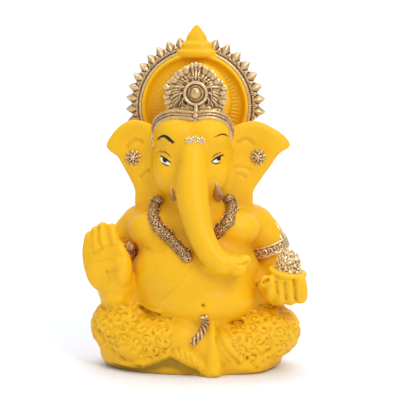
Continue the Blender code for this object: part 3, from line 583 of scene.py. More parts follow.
def clothShare(mesh, x, y, z):
    # 1 where the patterned cloth covers the legs, fading to 0 around the foot, pleat and drape
    tree = treeOf(legs)
    share = np.zeros(len(x))
    co = vectorsOf(mesh.vertices, "co")
    for i in np.flatnonzero((z > 5) & (z < 33) & (y < 12)):
        gap = tree.find_nearest(Vector(co[i]))[3] / unit
        share[i] = min(1.0, max(0.0, (2.2 - gap) / 0.8))
    low, high = curl["plainFront"]
    front = np.clip((-8 - y) / 4, 0, 1)
    plain = np.clip((x - low + 2) / 2, 0, 1) * np.clip((high + 5 - 0.35 * (z - 10) - x) / 3, 0, 1)
    share *= 1 - plain * front
    hem = 9.2 - 0.1 * (x + 20) * (x < -8) * (x > -34)
    share *= np.clip((z - np.where(x < 0, hem, 7.5)) / 1.6, 0, 1) * np.clip((10 - y) / 4, 0, 1)
    share *= np.clip((33 - z - 0.12 * (34 - np.abs(x))) / 2, 0, 1)
    drape = np.exp(-((np.hypot(x + 34, (z - 12) * 1.2) / 7.5) ** 2))
    return share * (1 - 0.75 * drape)


def curls(mesh, x, y, z):
    # a spiral groove on a low swelling at each spot, each its own size, turn and winding
    share = clothShare(mesh, x, y, z)
    lift = curl["ridge"] * swirls(x, y, z) * share
    rng = np.random.default_rng(curl["seed"])
    for spot, normal in curlSpots(mesh):
        turn = rng.normal(0, 0.9) + (math.pi if rng.random() < 0.5 else 0)
        flip = 1 if rng.random() < 0.5 else -1
        size = rng.uniform(*curl["size"])
        full = rng.uniform(*curl["wound"])
        along = Vector((0, 0, 1)).cross(normal).normalized()
        rise = normal.cross(along)
        spot = (spot + along * rng.uniform(-curl["sideways"], curl["sideways"])
                + rise * rng.uniform(-curl["upwards"], curl["upwards"]))
        gap = np.stack([x - spot.x, y - spot.y, z - spot.z], 1)
        near = ((gap ** 2).sum(1) < 15 * size ** 2) & (share > 0.02)
        u = gap[near] @ np.array(along) / size * flip
        v = gap[near] @ np.array(rise) / size
        across = u * math.cos(turn) + v * math.sin(turn)
        up = (v * math.cos(turn) - u * math.sin(turn)) * 1.3
        reach, angle = np.hypot(across, up), np.arctan2(up, across)
        shareOfTurn = (angle + math.pi) / (2 * math.pi)
        coil = 0.35 + 1.9 * shareOfTurn
        fade = np.clip((2.9 - reach) / 0.7, 0, 1)
        drawn = np.clip((full - shareOfTurn) / 0.1 + 0.5, 0, 1)
        groove = np.exp(-(((reach - coil) / 0.42) ** 2)) * drawn
        second = np.clip(1 - np.abs(shareOfTurn - 0.45) / 0.3, 0, 1)
        groove = groove + 0.7 * np.exp(-(((reach - coil - 1.0) / 0.35) ** 2)) * second
        body = np.exp(-(((reach - 1.3) / 1.2) ** 2))
        lift[near] *= 1 - 0.6 * body * fade
        lift[near] += curl["depth"] * (0.5 * body - groove) * fade * share[near]
    return lift


def carve(mesh):
    co = vectorsOf(mesh.vertices, "co")
    normal = vectorsOf(mesh.vertices, "normal")
    x, y, z = (co / unit).T
    front = np.clip(-normal[:, 1] * 1.6, 0, 1) * (y < 2)
    lift = np.zeros(len(x))
    for places, width, depth in carvedLines():
        gap = strokeGap(x, z, places, [0] * len(places))
        lift -= depth * np.exp(-((gap / width) ** 2)) * front
    lift += curls(mesh, x, y, z)
    lift += haloRibs(x, y, z, normal)
    moveTo(mesh, co + normal * (lift * unit)[:, None])


ribs = {"count": 69, "inner": 13.9, "outer": 19.8, "depth": 0.34}


def haloRibs(x, y, z, normal):
    # short rays cut into the disc, crisp on one side and worn on the other
    cx, cy, cz = halo["centre"]
    reach = np.hypot(x - cx, z - cz)
    angle = np.arctan2(z - cz, x - cx)
    band = np.clip((reach - ribs["inner"]) / 1.5, 0, 1) * np.clip((ribs["outer"] - reach) / 1.5, 0, 1)
    shown = band * (normal[:, 1] < -0.4) * (y > 1) * (y < cy) * (z > cz - 12)
    crisp = 0.35 + 0.65 * np.exp(-((angle - 0.2) / 0.8) ** 2)
    return ribs["depth"] * np.sin(angle * ribs["count"]) * shown * crisp


def setDown(mesh):
    bm = together(mesh)
    geometry = bm.verts[:] + bm.edges[:] + bm.faces[:]
    bmesh.ops.bisect_plane(bm, geom=geometry, plane_co=(0, 0, figure["ground"] * unit),
                           plane_no=(0, 0, -1), clear_outer=True)
    bmesh.ops.holes_fill(bm, edges=[edge for edge in bm.edges if edge.is_boundary])
    bmesh.ops.triangulate(bm, faces=bm.faces)
    # the lowest edge is worn round, so that a thin line of shade shows under it
    for vert in bm.verts:
        low = 1 - (vert.co.z / unit - figure["ground"]) / base["wornHigh"]
        if low > 0:
            for k in range(2):
                vert.co[k] -= (vert.co[k] - base["centre"][k] * unit) * base["wearAndShade"] * low * low
    bm.to_mesh(mesh)
    bm.free()


def thinned(mesh, triangles):
    have = sum(len(face.vertices) - 2 for face in mesh.polygons)
    return withModifiers(mesh, [("DECIMATE", {"ratio": triangles / have,
                                              "use_collapse_triangulate": True})])


def markPoints(mesh, name, values):
    made = mesh.attributes.new(name, "FLOAT", "POINT")
    made.data.foreach_set("value", values.astype(np.float32))


def markHollows(mesh, dull):
    # a point attribute: above 0.5 in creases, below it on ridges; dull moves it all; the paints turn
    # it into painted shade in the creases and lighter ridges
    co = vectorsOf(mesh.vertices, "co")
    normal = vectorsOf(mesh.vertices, "normal")
    a, b, mean = edgeEnds(mesh)
    step = np.linalg.norm(co[a] - co[b], axis=1)
    middle = np.stack([mean(co[b, k], co[a, k]) for k in range(3)], 1)
    bend = ((middle - co) * normal).sum(1) / np.maximum(mean(step, step), 1e-7)
    for _ in range(3):
        bend = 0.5 * bend + 0.5 * mean(bend[b], bend[a])
    markPoints(mesh, "hollow", np.clip(0.5 + dull + bend * 2.2, 0, 1))


def shadeFoot(mesh):
    # painted shade where the foot tucks in under the hem and the toes, added to the crease attribute
    x, y, z = (vectorsOf(mesh.vertices, "co") / unit).T
    line = np.interp(x, (-38, -20.5, -8.8, 7.5, 12, 40), (3.4, 5.2, 9.6, 1.6, 3.2, 4.6))
    line = np.where(y > -8, 3.4, line)
    under = np.clip((line - (z - z.min()) - 0.2) / 1.4, 0, 1) * np.where(x > 9, 0.6, 1)
    hollow = mesh.attributes["hollow"]
    shade = np.empty(len(x), np.float32)
    hollow.data.foreach_get("value", shade)
    hollow.data.foreach_set("value", np.clip(shade + 0.5 * under, 0, 1).astype(np.float32))


# brush strokes in front view: (paint, places, half widths)
eyeStrokes = (
    ("whitePaint", [(-13.6, 93.9), (-12.3, 92.4), (-10.3, 91.7)], (0.55, 0.9, 0.6)),
    ("brownPaint", [(-15, 96.15), (-12.4, 96.5), (-10.6, 95.7), (-9.3, 94.2)],
     (0.12, 0.26, 0.24, 0.12)),
    ("inkPaint", [(-14.2, 94.7), (-12.5, 94.1), (-10.8, 93.1), (-9.3, 92.1)],
     (0.2, 0.42, 0.45, 0.2)),
    ("inkPaint", [(-12.2, 93.4), (-11.9, 92.9)], (0.85, 0.85)),
    ("inkPaint", [(-13.4, 92.0), (-11.7, 91.2), (-10.3, 90.8)], (0.18, 0.3, 0.22)),
    ("whitePaint", [(8.8, 92.6), (10.1, 92.9), (11.6, 93.8)], (0.5, 0.8, 0.5)),
    ("brownPaint", [(8.2, 94.4), (9.8, 95.6), (11.9, 96.4)], (0.12, 0.28, 0.15)),
    ("inkPaint", [(8.0, 92.7), (9.7, 94), (11.8, 94.9), (12.8, 95.3)], (0.2, 0.42, 0.42, 0.2)),
    ("inkPaint", [(11.1, 93.7), (11, 93.9)], (0.85, 0.85)),
    ("inkPaint", [(8.3, 92.4), (9.8, 91.8), (11.4, 92.1)], (0.18, 0.3, 0.22)),
    ("inkPaint", [(-15.8, 101.2), (-14.8, 102.4), (-12.5, 103.4), (-10.4, 102.5), (-8.5, 100.9)],
     (0.15, 0.35, 0.6, 0.75, 0.6)),
    ("inkPaint", [(9.3, 103.2), (11.5, 104.1), (13.2, 104.2), (14.7, 103.1)],
     (0.1, 0.26, 0.32, 0.14)),
)


def paintEyes(mesh):
    # the skin is cut finer around the strokes, then each paint is a point attribute
    bm = together(mesh)
    for finest in (0.42, 0.21):
        bm.verts.ensure_lookup_table()
        places = np.array([v.co[:] for v in bm.verts]) / unit
        nearest = np.full(len(places), np.inf)
        for _, path, halfWidths in eyeStrokes:
            nearest = np.minimum(nearest, strokeGap(places[:, 0], places[:, 2], path, halfWidths))
        close = (nearest < 0.6) & (places[:, 1] < -4)
        long = [e for e in bm.edges if close[e.verts[0].index] and close[e.verts[1].index]
                and e.calc_length() > finest * unit]
        bmesh.ops.subdivide_edges(bm, edges=long, cuts=1, use_grid_fill=False)
        bmesh.ops.triangulate(bm, faces=[f for f in bm.faces if len(f.verts) > 3])
    bm.to_mesh(mesh)
    bm.free()
    x, y, z = (vectorsOf(mesh.vertices, "co") / unit).T
    for paint in ("whitePaint", "inkPaint", "brownPaint"):
        mask = np.zeros(len(x))
        for name, path, halfWidths in eyeStrokes:
            if name == paint:
                gap = strokeGap(x, z, path, halfWidths)
                mask = np.maximum(mask, np.clip(0.5 - gap / 0.22, 0, 1) * (y < -4))
        markPoints(mesh, paint, mask)


def standOn(mesh):
    # the layout's ground line goes to the floor
    mesh.transform(Matrix.Translation((0, 0, -figure["ground"] * unit)))
    mesh.update()


print("sculpting the body")
torso, legs, foot = torsoMesh(), legsMesh(), footMesh()
head, ears, crown = headMesh(), earsMesh(), crownMesh()
massRounds, skinRounds = figure["creaseRounds"]
lumps = together(torso, armsMesh(), legs, baseMesh(), head, ears)
mass = fillCreases(fused(lumps, soft=0.8), massRounds)
lumps = together(mass, raisedHandMesh(), servingHandMesh(), trayMesh(), foot, trunkMesh(), crown)
skin = fillCreases(fused(lumps, soft=0.4), skinRounds)
print("carving", len(skin.polygons))
carve(skin)
skin = thinned(skin, figure["bodyTriangles"])
setDown(skin)
paintEyes(skin)


# Paint

def srgb(code):
    values = [int(code[k:k + 2], 16) / 255 for k in (0, 2, 4)]
    return [v / 12.92 if v <= 0.04045 else ((v + 0.055) / 1.055) ** 2.4 for v in values] + [1.0]


def wire(tree, node, links):
    for socket, source in links:
        tree.links.new(source, node.inputs[socket])


def addNode(tree, kind, settings=None, links=(), **values):
    # values set input sockets by name with _ for a space; links are (input, from socket)
    node = tree.nodes.new(kind)
    for name, value in (settings or {}).items():
        setattr(node, name, value)
    for name, value in values.items():
        node.inputs[name.replace("_", " ")].default_value = value
    wire(tree, node, links)
    return node


def newMaterial(name):
    material = bpy.data.materials.new(name)
    material.use_nodes = True
    tree = material.node_tree
    return material, tree, tree.nodes["Principled BSDF"]


def setStops(ramp, stops):
    marks = ramp.color_ramp.elements
    marks[0].position, marks[1].position = stops[0][0], stops[-1][0]
    for place, _ in stops[1:-1]:
        marks.new(place)
    for mark, (_, code) in zip(marks, stops):
        mark.color = srgb(code)


# stops run from ridge to hollow, with lighter ridges and painted shade in the creases; a cloud of thin
# and thick paint and a grain of the plaster are that many millimetres wide, the grain drawn coarser
# than it is so that it shows
yellowLook = {"stops": ((0.2, "F5BF16"), (0.5, "EEB30A"), (0.72, "DCA404"), (0.98, "9C7400")),
              "white": "F4F0DC", "brown": "6E4A14", "ink": "14130F", "cloud": 9.091, "grain": 0.7143}


def yellowPaint():
    # brushed acrylic on cast plaster: an even satin skin, with painted shade in the creases of the
    # carving and a little painted light on its ridges
    material, tree, shader = newMaterial("yellow acrylic on plaster")
    place = addNode(tree, "ShaderNodeTexCoord").outputs["Object"]
    hollow = addNode(tree, "ShaderNodeAttribute", {"attribute_name": "hollow"}).outputs["Fac"]
    ramp = addNode(tree, "ShaderNodeValToRGB", links=[("Fac", hollow)])
    setStops(ramp, yellowLook["stops"])
    cloud = addNode(tree, "ShaderNodeTexNoise", links=[("Vector", place)],
                    Scale=1000 / yellowLook["cloud"], Detail=3.0)
    value = addNode(tree, "ShaderNodeMapRange", links=[("Value", cloud.outputs["Fac"])],
                    From_Min=0.3, From_Max=0.7, To_Min=0.965, To_Max=1.03)
    tone = addNode(tree, "ShaderNodeHueSaturation", links=[("Color", ramp.outputs["Color"]),
                                                           ("Value", value.outputs["Result"])])
    colour = tone.outputs["Color"]
    for tint in ("white", "brown", "ink"):
        mask = addNode(tree, "ShaderNodeAttribute", {"attribute_name": tint + "Paint"}).outputs["Fac"]
        layer = addNode(tree, "ShaderNodeMix", {"data_type": "RGBA"}, [("Factor", mask), (6, colour)])
        layer.inputs[7].default_value = srgb(yellowLook[tint])
        colour = layer.outputs[2]
    gloss = addNode(tree, "ShaderNodeMapRange", links=[("Value", cloud.outputs["Fac"])],
                    From_Min=0.3, From_Max=0.7, To_Min=0.42, To_Max=0.52)
    shader.inputs["Specular IOR Level"].default_value = 0.3
    grain = addNode(tree, "ShaderNodeTexNoise", links=[("Vector", place)],
                    Scale=1000 / yellowLook["grain"], Detail=2.0)
    bump = addNode(tree, "ShaderNodeBump", links=[("Height", grain.outputs["Fac"])],
                   Strength=0.25, Distance=0.00008)
    wire(tree, shader, [("Base Color", colour), ("Roughness", gloss.outputs["Result"]),
                        ("Normal", bump.outputs["Normal"])])
    return material


# a worn speck is that many millimetres wide; stops run from a pale painted highlight on ridges to a
# dark brown in creases, partly the brown ground and partly painted shade
goldLook = {"stops": ((0.45, "F0DAB0"), (0.67, "C39B62"), (0.88, "54361A")), "speck": 1.111}


def goldPaint():
    # bronze-powder paint dry-brushed on a brown ground: pale painted highlights on the ridges, dark
    # creases that are partly the ground and partly painted shade
    material, tree, shader = newMaterial("bronze powder paint")
    place = addNode(tree, "ShaderNodeTexCoord").outputs["Object"]
    hollow = addNode(tree, "ShaderNodeAttribute", {"attribute_name": "hollow"}).outputs["Fac"]
    cloud = addNode(tree, "ShaderNodeTexNoise", links=[("Vector", place)],
                    Scale=1000 / goldLook["speck"], Detail=3.0)
    # worn specks plus the crease attribute, which paints the highlight on ridges and the shade in
    # creases
    wearAndShade = addNode(tree, "ShaderNodeMath", {"operation": "MULTIPLY_ADD"},
                   links=[(0, cloud.outputs["Fac"]), (2, hollow)])
    wearAndShade.inputs[1].default_value = 0.35
    ramp = addNode(tree, "ShaderNodeValToRGB", links=[("Fac", wearAndShade.outputs["Value"])])
    setStops(ramp, goldLook["stops"])
    metal = addNode(tree, "ShaderNodeMapRange", links=[("Value", wearAndShade.outputs["Value"])],
                    From_Min=0.6, From_Max=0.9, To_Min=0.65, To_Max=0.2)
    rough = addNode(tree, "ShaderNodeMapRange", links=[("Value", wearAndShade.outputs["Value"])],
                    From_Min=0.5, From_Max=0.9, To_Min=0.3, To_Max=0.6)
    bump = addNode(tree, "ShaderNodeBump", links=[("Height", cloud.outputs["Fac"])],
                   Strength=0.5, Distance=0.0001)
    wire(tree, shader, [("Base Color", ramp.outputs["Color"]), ("Metallic", metal.outputs["Result"]),
                        ("Roughness", rough.outputs["Result"]), ("Normal", bump.outputs["Normal"])])
    return material


yellow = yellowPaint()
gold = goldPaint()
goldPieces = []


def finishPiece(name, mesh, material, dull=0.0):
    standOn(mesh)
    markHollows(mesh, dull)
    mesh.materials.clear()
    mesh.materials.append(material)
    mesh.shade_smooth()
    piece = linked(name, mesh)
    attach(piece, "root")
    return piece


def castGold(name, mesh, sizes):
    # one cast skin over the loose petals and rolls; dull above 0 darkens the whole piece towards the
    # brown of the creases
    skin = castSkin(mesh, sizes["grid"])
    goldPieces.append(finishPiece(name, skin, gold, sizes["dull"]))


# Geometry Nodes

def newTree(name, sizes):
    # sizes: (input name, socket kind, value)
    tree = bpy.data.node_groups.new(name, "GeometryNodeTree")
    tree.interface.new_socket("Geometry", in_out="INPUT", socket_type="NodeSocketGeometry")
    for label, kind, _ in sizes:
        tree.interface.new_socket(label, in_out="INPUT", socket_type="NodeSocket" + kind)
    tree.interface.new_socket("Geometry", in_out="OUTPUT", socket_type="NodeSocketGeometry")
    return tree, tree.nodes.new("NodeGroupInput"), tree.nodes.new("NodeGroupOutput")


def endTree(tree, placed, ins, out):
    # the instances made real, joined to the given mesh and painted
    real = addNode(tree, "GeometryNodeRealizeInstances", links=[("Geometry", placed.outputs[0])])
    both = addNode(tree, "GeometryNodeJoinGeometry",
                   links=[("Geometry", real.outputs[0]), ("Geometry", ins["Geometry"])])
    paint = addNode(tree, "GeometryNodeSetMaterial",
                    links=[("Geometry", both.outputs[0]), ("Material", ins["Paint"])])
    wire(tree, out, [(0, paint.outputs[0])])
    return tree


def grownMesh(name, mesh, tree, values):
    # runs the tree on the mesh with its inputs set by identifier
    made = linked(name, mesh)
    modifier = made.modifiers.new("growth", "NODES")
    modifier.node_group = tree
    for item in tree.interface.items_tree:
        if item.in_out == "INPUT" and item.name in values:
            modifier[item.identifier] = values[item.name]
    result = evaluatedMesh(made)
    bpy.data.objects.remove(made)
    return result


def scatterTree():
    # petals all over a core, each leaning its own way
    tree, given, out = newTree("petals over a core", [("Petal", "Object", None),
                               ("Gap", "Float", 0), ("Size", "Float", 0), ("Lean", "Float", 0),
                               ("Seed", "Int", 0), ("Paint", "Material", None)])
    ins = given.outputs
    spots = addNode(tree, "GeometryNodeDistributePointsOnFaces", {"distribute_method": "POISSON"},
                    links=[("Mesh", ins["Geometry"]), ("Distance Min", ins["Gap"]),
                           ("Seed", ins["Seed"])], Density_Max=3.0e7)
    petal = addNode(tree, "GeometryNodeObjectInfo", links=[("Object", ins["Petal"])])
    lean = addNode(tree, "FunctionNodeRandomValue", {"data_type": "FLOAT_VECTOR"},
                   links=[("Seed", ins["Seed"])])
    leanScale = addNode(tree, "ShaderNodeVectorMath", {"operation": "SCALE"},
                        links=[(0, lean.outputs[0]), ("Scale", ins["Lean"])])
    lean.inputs[0].default_value = (-1, -1, -12)
    lean.inputs[1].default_value = (1, 1, 12)
    turned = addNode(tree, "FunctionNodeRotateRotation", {"rotation_space": "LOCAL"},
                     links=[("Rotation", spots.outputs["Rotation"]),
                            ("Rotate By", leanScale.outputs[0])])
    grow = addNode(tree, "FunctionNodeRandomValue", {"data_type": "FLOAT"},
                   links=[("Seed", ins["Seed"])])
    grow.inputs[2].default_value, grow.inputs[3].default_value = 0.75, 1.25
    size = addNode(tree, "ShaderNodeMath", {"operation": "MULTIPLY"},
                   links=[(0, grow.outputs[1]), (1, ins["Size"])])
    placed = addNode(tree, "GeometryNodeInstanceOnPoints",
                     links=[("Points", spots.outputs["Points"]),
                            ("Instance", petal.outputs["Geometry"]),
                            ("Rotation", turned.outputs["Rotation"]),
                            ("Scale", size.outputs["Value"])])
    return endTree(tree, placed, ins, out)


def ringTree():
    # leaves stood in a ring around a centre, in front view, then joined to the given mesh
    tree, given, out = newTree("ring of leaves", [("Leaf", "Object", None), ("Count", "Int", 0),
                               ("Centre", "Vector", 0), ("Radius", "Float", 0),
                               ("First", "Float", 0), ("Step", "Float", 0), ("Size", "Float", 0),
                               ("Paint", "Material", None)])
    ins = given.outputs
    number = addNode(tree, "GeometryNodeInputIndex").outputs[0]
    angle = addNode(tree, "ShaderNodeMath", {"operation": "MULTIPLY_ADD"},
                    links=[(0, number), (1, ins["Step"]), (2, ins["First"])]).outputs[0]
    across = addNode(tree, "ShaderNodeMath", {"operation": "COSINE"}, links=[(0, angle)])
    upward = addNode(tree, "ShaderNodeMath", {"operation": "SINE"}, links=[(0, angle)])
    outward = addNode(tree, "ShaderNodeCombineXYZ",
                      links=[("X", across.outputs[0]), ("Z", upward.outputs[0])])
    reach = addNode(tree, "ShaderNodeVectorMath", {"operation": "SCALE"},
                    links=[(0, outward.outputs[0]), ("Scale", ins["Radius"])])
    spot = addNode(tree, "ShaderNodeVectorMath", {"operation": "ADD"},
                   links=[(0, reach.outputs[0]), (1, ins["Centre"])])
    points = addNode(tree, "GeometryNodePoints",
                     links=[("Count", ins["Count"]), ("Position", spot.outputs[0])])
    tilt = addNode(tree, "ShaderNodeMath", {"operation": "SUBTRACT"}, links=[(1, angle)])
    tilt.inputs[0].default_value = math.pi / 2
    turn = addNode(tree, "ShaderNodeCombineXYZ", links=[("Y", tilt.outputs[0])])
    leaf = addNode(tree, "GeometryNodeObjectInfo", links=[("Object", ins["Leaf"])])
    placed = addNode(tree, "GeometryNodeInstanceOnPoints",
                     links=[("Points", points.outputs[0]), ("Instance", leaf.outputs["Geometry"]),
                            ("Rotation", turn.outputs[0]), ("Scale", ins["Size"])])
    return endTree(tree, placed, ins, out)


scatter = scatterTree()
ringOf = ringTree()


# Small shapes that the trees repeat

def addLeaf(bm, length, width, thick, waist=0.35, veins=True):
    # a ridged leaf that stands along Z and faces -Y, closed at the back
    stations, tip = 9, 0.08
    across = (-1, -0.62, -0.3, 0, 0.3, 0.62, 1)
    high = (0, 0.8, 0.5, 1.0, 0.5, 0.8, 0) if veins else (0, 0.55, 0.85, 1.0, 0.85, 0.55, 0)
    rings = []
    for i in range(stations):
        t = i / (stations - 1)
        swell = math.sin(math.pi * min(1.0, (t + waist) / (1 + waist)) ** 1.25)
        half = max(tip, swell) * width / 2
        rise = thick * (0.35 + 0.65 * math.sin(math.pi * min(1, t * 0.85 + 0.15)))
        ring = [bm.verts.new(Vector((u * half, -h * rise, t * length)) * unit)
                for u, h in zip(across, high)]
        ring += [bm.verts.new(Vector((u * half, 0.25 * thick, t * length)) * unit)
                 for u in (0.6, -0.6)]
        rings.append(ring)
    closeRings(bm, rings)


templates = []


def meshFrom(build, name="core"):
    bm = bmesh.new()
    build(bm)
    return closedMesh(bm, name)


def template(name, build):
    made = linked(name, meshFrom(build, name))
    made.hide_render = True
    templates.append(made)
    return made


def strewn(name, core, petal, sizes):
    # a core with petals grown all over it
    return grownMesh(name, core, scatter, {
        "Petal": template(name + "Petal", petal), "Gap": sizes["gap"] * unit, "Size": 1.0,
        "Lean": sizes["lean"], "Seed": sizes["seed"], "Paint": gold})


def acrossAt(path, k):
    # square to the path in front view
    along = Vector(path[min(k + 1, len(path) - 1)]) - Vector(path[max(k - 1, 0)])
    return Vector((-along.z, 0, along.x)).normalized()


def beside(path, shift):
    return [Vector(place) + acrossAt(path, k) * shift for k, place in enumerate(path)]


def addBraid(bm, path, reach, thick, turns, strands):
    points = smoothPath(path, steps=14)
    for s in range(strands):
        cord = []
        for k, point in enumerate(points):
            a = 2 * math.pi * (turns * k / (len(points) - 1) + s / strands)
            deep = Vector((0, reach * 0.5 * math.sin(a), 0))
            cord.append(point + acrossAt(points, k) * reach * math.cos(a) + deep)
        addRoll(bm, cord, thick, sides=8, steps=1)


def addShell(bm, heart, surface, degrees, length, width, flutes, proud, root):
    # an acanthus leaf: fluted from its root, bent outwards, with a scalloped lip that curls forward
    def on(t, u):
        a = math.radians(90 + (degrees - 90) * (0.8 + 0.2 * t * t))
        out, across = Vector((math.cos(a), 0, math.sin(a))), Vector((-math.sin(a), 0, math.cos(a)))
        rise = float(np.interp(t, (0, 0.3, 0.6, 0.8, 0.92, 1), (0.4, 0.75, 0.7, 1.1, 1.35, 0.6)))
        spread = width * 0.5 * (0.3 + 0.7 * math.sin(min(1, t * 1.12) * math.pi / 2) ** 1.3)
        flute = abs(math.sin(math.pi * flutes * (u + 1) / 2))
        reach = root + (length - root) * t * (1 - 0.3 * u * u - 0.1 * (1 - flute))
        at = heart + out * reach + across * (spread * u)
        height = rise * proud * (1 - 0.85 * u * u) + 0.8 * (flute - 0.6) * (0.4 + 0.6 * t)
        return at, height

    rings = []
    for t in (0, 0.12, 0.28, 0.45, 0.6, 0.72, 0.82, 0.9, 0.96, 1.0):
        front, back = [], []
        for u in np.linspace(-1, 1, 8 * flutes + 1):
            at, height = on(t, u)
            front.append(bm.verts.new(Vector((at.x, surface(at.x, at.z) - height, at.z)) * unit))
            back.append(bm.verts.new(Vector((at.x, surface(at.x, at.z) + 1.0, at.z)) * unit))
        rings.append(front + back[::-1])
    closeRings(bm, rings)
    lip = min(1.5, width * 0.55 / flutes)
    for k in range(flutes if flutes > 1 else 0):
        u = (2 * k + 1) / flutes - 1
        at, height = on(0.86, u)
        place = (at.x, surface(at.x, at.z) - height + 0.1, at.z)
        addBlob(bm, place, (lip * 1.25, 0.75, lip), turn=(0, -degrees - 25 * u, 0))


# sides: first angle, step and count; hoops: beyond the disc's edge, depth and thickness
spikeSizes = {"sides": ((103.4, 9.95, 10), (72.3, -10.97, 8)), "big": (6.6, 4.9, 2.6),
              "small": (3.6, 2.6, 2.4), "hoops": ((0.5, -2.7, 0.75), (2.2, -1.8, 0.7), (1, -0.2, 2.1)),
              "hoopEnds": (-40, 220), "grid": 0.00024, "dull": 0.0}


def haloSpikes():
    x, y, z = halo["centre"]
    wide = halo["radius"]

    def border(bm):
        for out, deep, thick in spikeSizes["hoops"]:
            path = arc(halo["centre"], wide + out, *spikeSizes["hoopEnds"], 60, y + deep)
            addRoll(bm, path, thick, sides=10, steps=2)

    big = template("bigLeaf", lambda bm: addLeaf(bm, *spikeSizes["big"], waist=0.45, veins=False))
    small = template("smallLeaf", lambda bm: addLeaf(bm, *spikeSizes["small"]))
    mesh = meshFrom(border)
    for start, step, count in spikeSizes["sides"]:
        for leaf, shift, reach, deep in ((big, 0, 0.9, -0.2), (small, 0.5, 1.0, -0.9)):
            mesh = grownMesh("haloBorder", mesh, ringOf, {
                "Leaf": leaf, "Count": count, "Centre": [x * unit, (y + deep) * unit, z * unit],
                "Radius": (wide + reach) * unit, "First": math.radians(start + step * shift),
                "Step": math.radians(step), "Size": 1.0, "Paint": gold})
    castGold("haloSpikes", mesh, spikeSizes)


garlandSizes = {"left": ((-15.9, 74.6), (-16.9, 72.6), (-17.3, 69.4), (-14.9, 64.6), (-10.6, 60.6),
                         (-6.6, 57.4), (-3.4, 54.8), (-1.2, 52.8)),
                "right": ((14.8, 75.4), (15.8, 73.6), (16.3, 71), (15.7, 67.6), (12.8, 64.3),
                          (9.6, 61.5), (7.4, 58.9)),
                "thick": 1.6, "bead": 0.55, "petals": 5, "gap": 1.1, "lean": 0.3, "seed": 4,
                "grid": 0.0002, "dull": 0.12}


def garland():
    depth = frontOf(mass)

    def cords(bm):
        thick, bead = garlandSizes["thick"], garlandSizes["bead"]
        for side in ("left", "right"):
            path = laidOn(depth, garlandSizes[side], 0.6)
            addRoll(bm, path, thick, sides=14)
            for edge in (-1, 1):
                border = [(x, y + 0.5, z) for x, y, z in beside(path, edge * (thick + 0.35))]
                for point in smoothPath(border, steps=3):
                    addBlob(bm, point, (bead, bead, bead), fine=2)

    def flower(bm):
        addBlob(bm, (0, 0, 0.45), (0.32, 0.32, 0.35), fine=2)
        for k in range(garlandSizes["petals"]):
            a = 2 * math.pi * k / garlandSizes["petals"]
            addBlob(bm, (0.62 * math.cos(a), 0.62 * math.sin(a), 0.25), (0.44, 0.44, 0.36), fine=2)

    castGold("garland", strewn("garland", meshFrom(cords), flower, garlandSizes), garlandSizes)


# leaves: angle, length, width, flutes and how proud; drapes: drop, reach and thickness
crestSizes = {"centre": (0.8, 121.4), "bend": 0.026, "root": 4.4,
              "plate": ((0, 11.4), (4, 10.6), (7.4, 8), (10.2, 4.2), (11.2, -1), (10.6, -5),
                        (10.2, -8.6), (5, -10), (0, -10), (-5, -10), (-10.8, -8.6), (-11.4, -5),
                        (-11.6, -1), (-10.2, 4.2), (-7.4, 8), (-4, 10.6)),
              "leaves": ((90, 13.4, 8.4, 5, 2.3), (123, 12.2, 5.2, 2, 1.7), (58, 11.9, 5.2, 2, 1.7),
                         (147, 12.6, 4.8, 2, 1.9), (33, 11.8, 4.8, 2, 1.9),
                         (173, 14.3, 6.4, 3, 2.5), (7, 13.6, 6.4, 3, 2.5),
                         (198, 14.8, 4.8, 2, 2.0), (-18, 13.8, 4.8, 2, 2.0),
                         (219, 14.8, 4.4, 2, 1.6), (-40, 14.2, 4.4, 2, 1.6),
                         (240, 12.6, 4.2, 2, 1.2), (-60, 12.2, 4.2, 2, 1.2)),
              "inner": (7.4, 3.2, 1, 2.2, 4.9),
              "drapes": ((6.6, 10.8, 0.9), (8.4, 10.2, 0.9), (10.0, 9.0, 0.75)),
              "grid": 0.00022, "dull": 0.0}


def crest():
    depth = frontOf(crown)
    cx, cz = crestSizes["centre"]

    def build(bm):
        heart = Vector(laidOn(depth, [(cx, cz)], 1.2)[0])

        def bent(x, z):
            return heart.y + crestSizes["bend"] * ((x - cx) ** 2 + (z - cz) ** 2)

        border = [(cx + dx * 0.96, cz + dz * 0.96) for dx, dz in crestSizes["plate"]]
        addFlap(bm, border, (cx, cz), 2.8, lambda x, z: bent(x, z) + 1.3)
        for degrees, length, width, flutes, proud in crestSizes["leaves"]:
            addShell(bm, heart, bent, degrees, length, width, flutes, proud, crestSizes["root"])
        for degrees in range(-45, 226, 30):
            addShell(bm, heart, bent, degrees, *crestSizes["inner"])
        for side in (-1, 1):
            for drop, reach, thick in crestSizes["drapes"]:
                path = [(cx + side * r, cz - drop - sag) for r, sag in
                        ((0.8, 0), (reach * 0.4, 0.9), (reach * 0.8, 0.6), (reach, -0.5))]
                cord = [(x, bent(x, z) - 0.9, z) for x, z in path]
                addRoll(bm, cord, (0.8, thick, thick * 1.2, thick), sides=10)
                addBlob(bm, cord[-1], (thick * 1.3, 1.0, thick * 1.3), fine=2)
        addRoll(bm, arc(heart, 4.7, 0, 360, 25, heart.y - 1.0), 0.75, sides=10, steps=2)
        addBlob(bm, heart, (4.6, 1.2, 4.6))
        addBlob(bm, heart + Vector((0, 0.6, -7)), (7, 1.3, 3.2))
        addBlob(bm, heart + Vector((0, -1.3, 0)), (2.3, 1.7, 2.6))
        addRoll(bm, [(cx + 0.2, heart.y - 1.2, cz - 5.2), (cx + 0.2, heart.y - 1.4, cz - 7.6)],
                (0.8, 1.2), sides=12)
        addBlob(bm, (cx + 0.3, heart.y - 1.2, cz - 8.8), (1.5, 1.5, 1.6))

    castGold("crest", meshFrom(build), crestSizes)


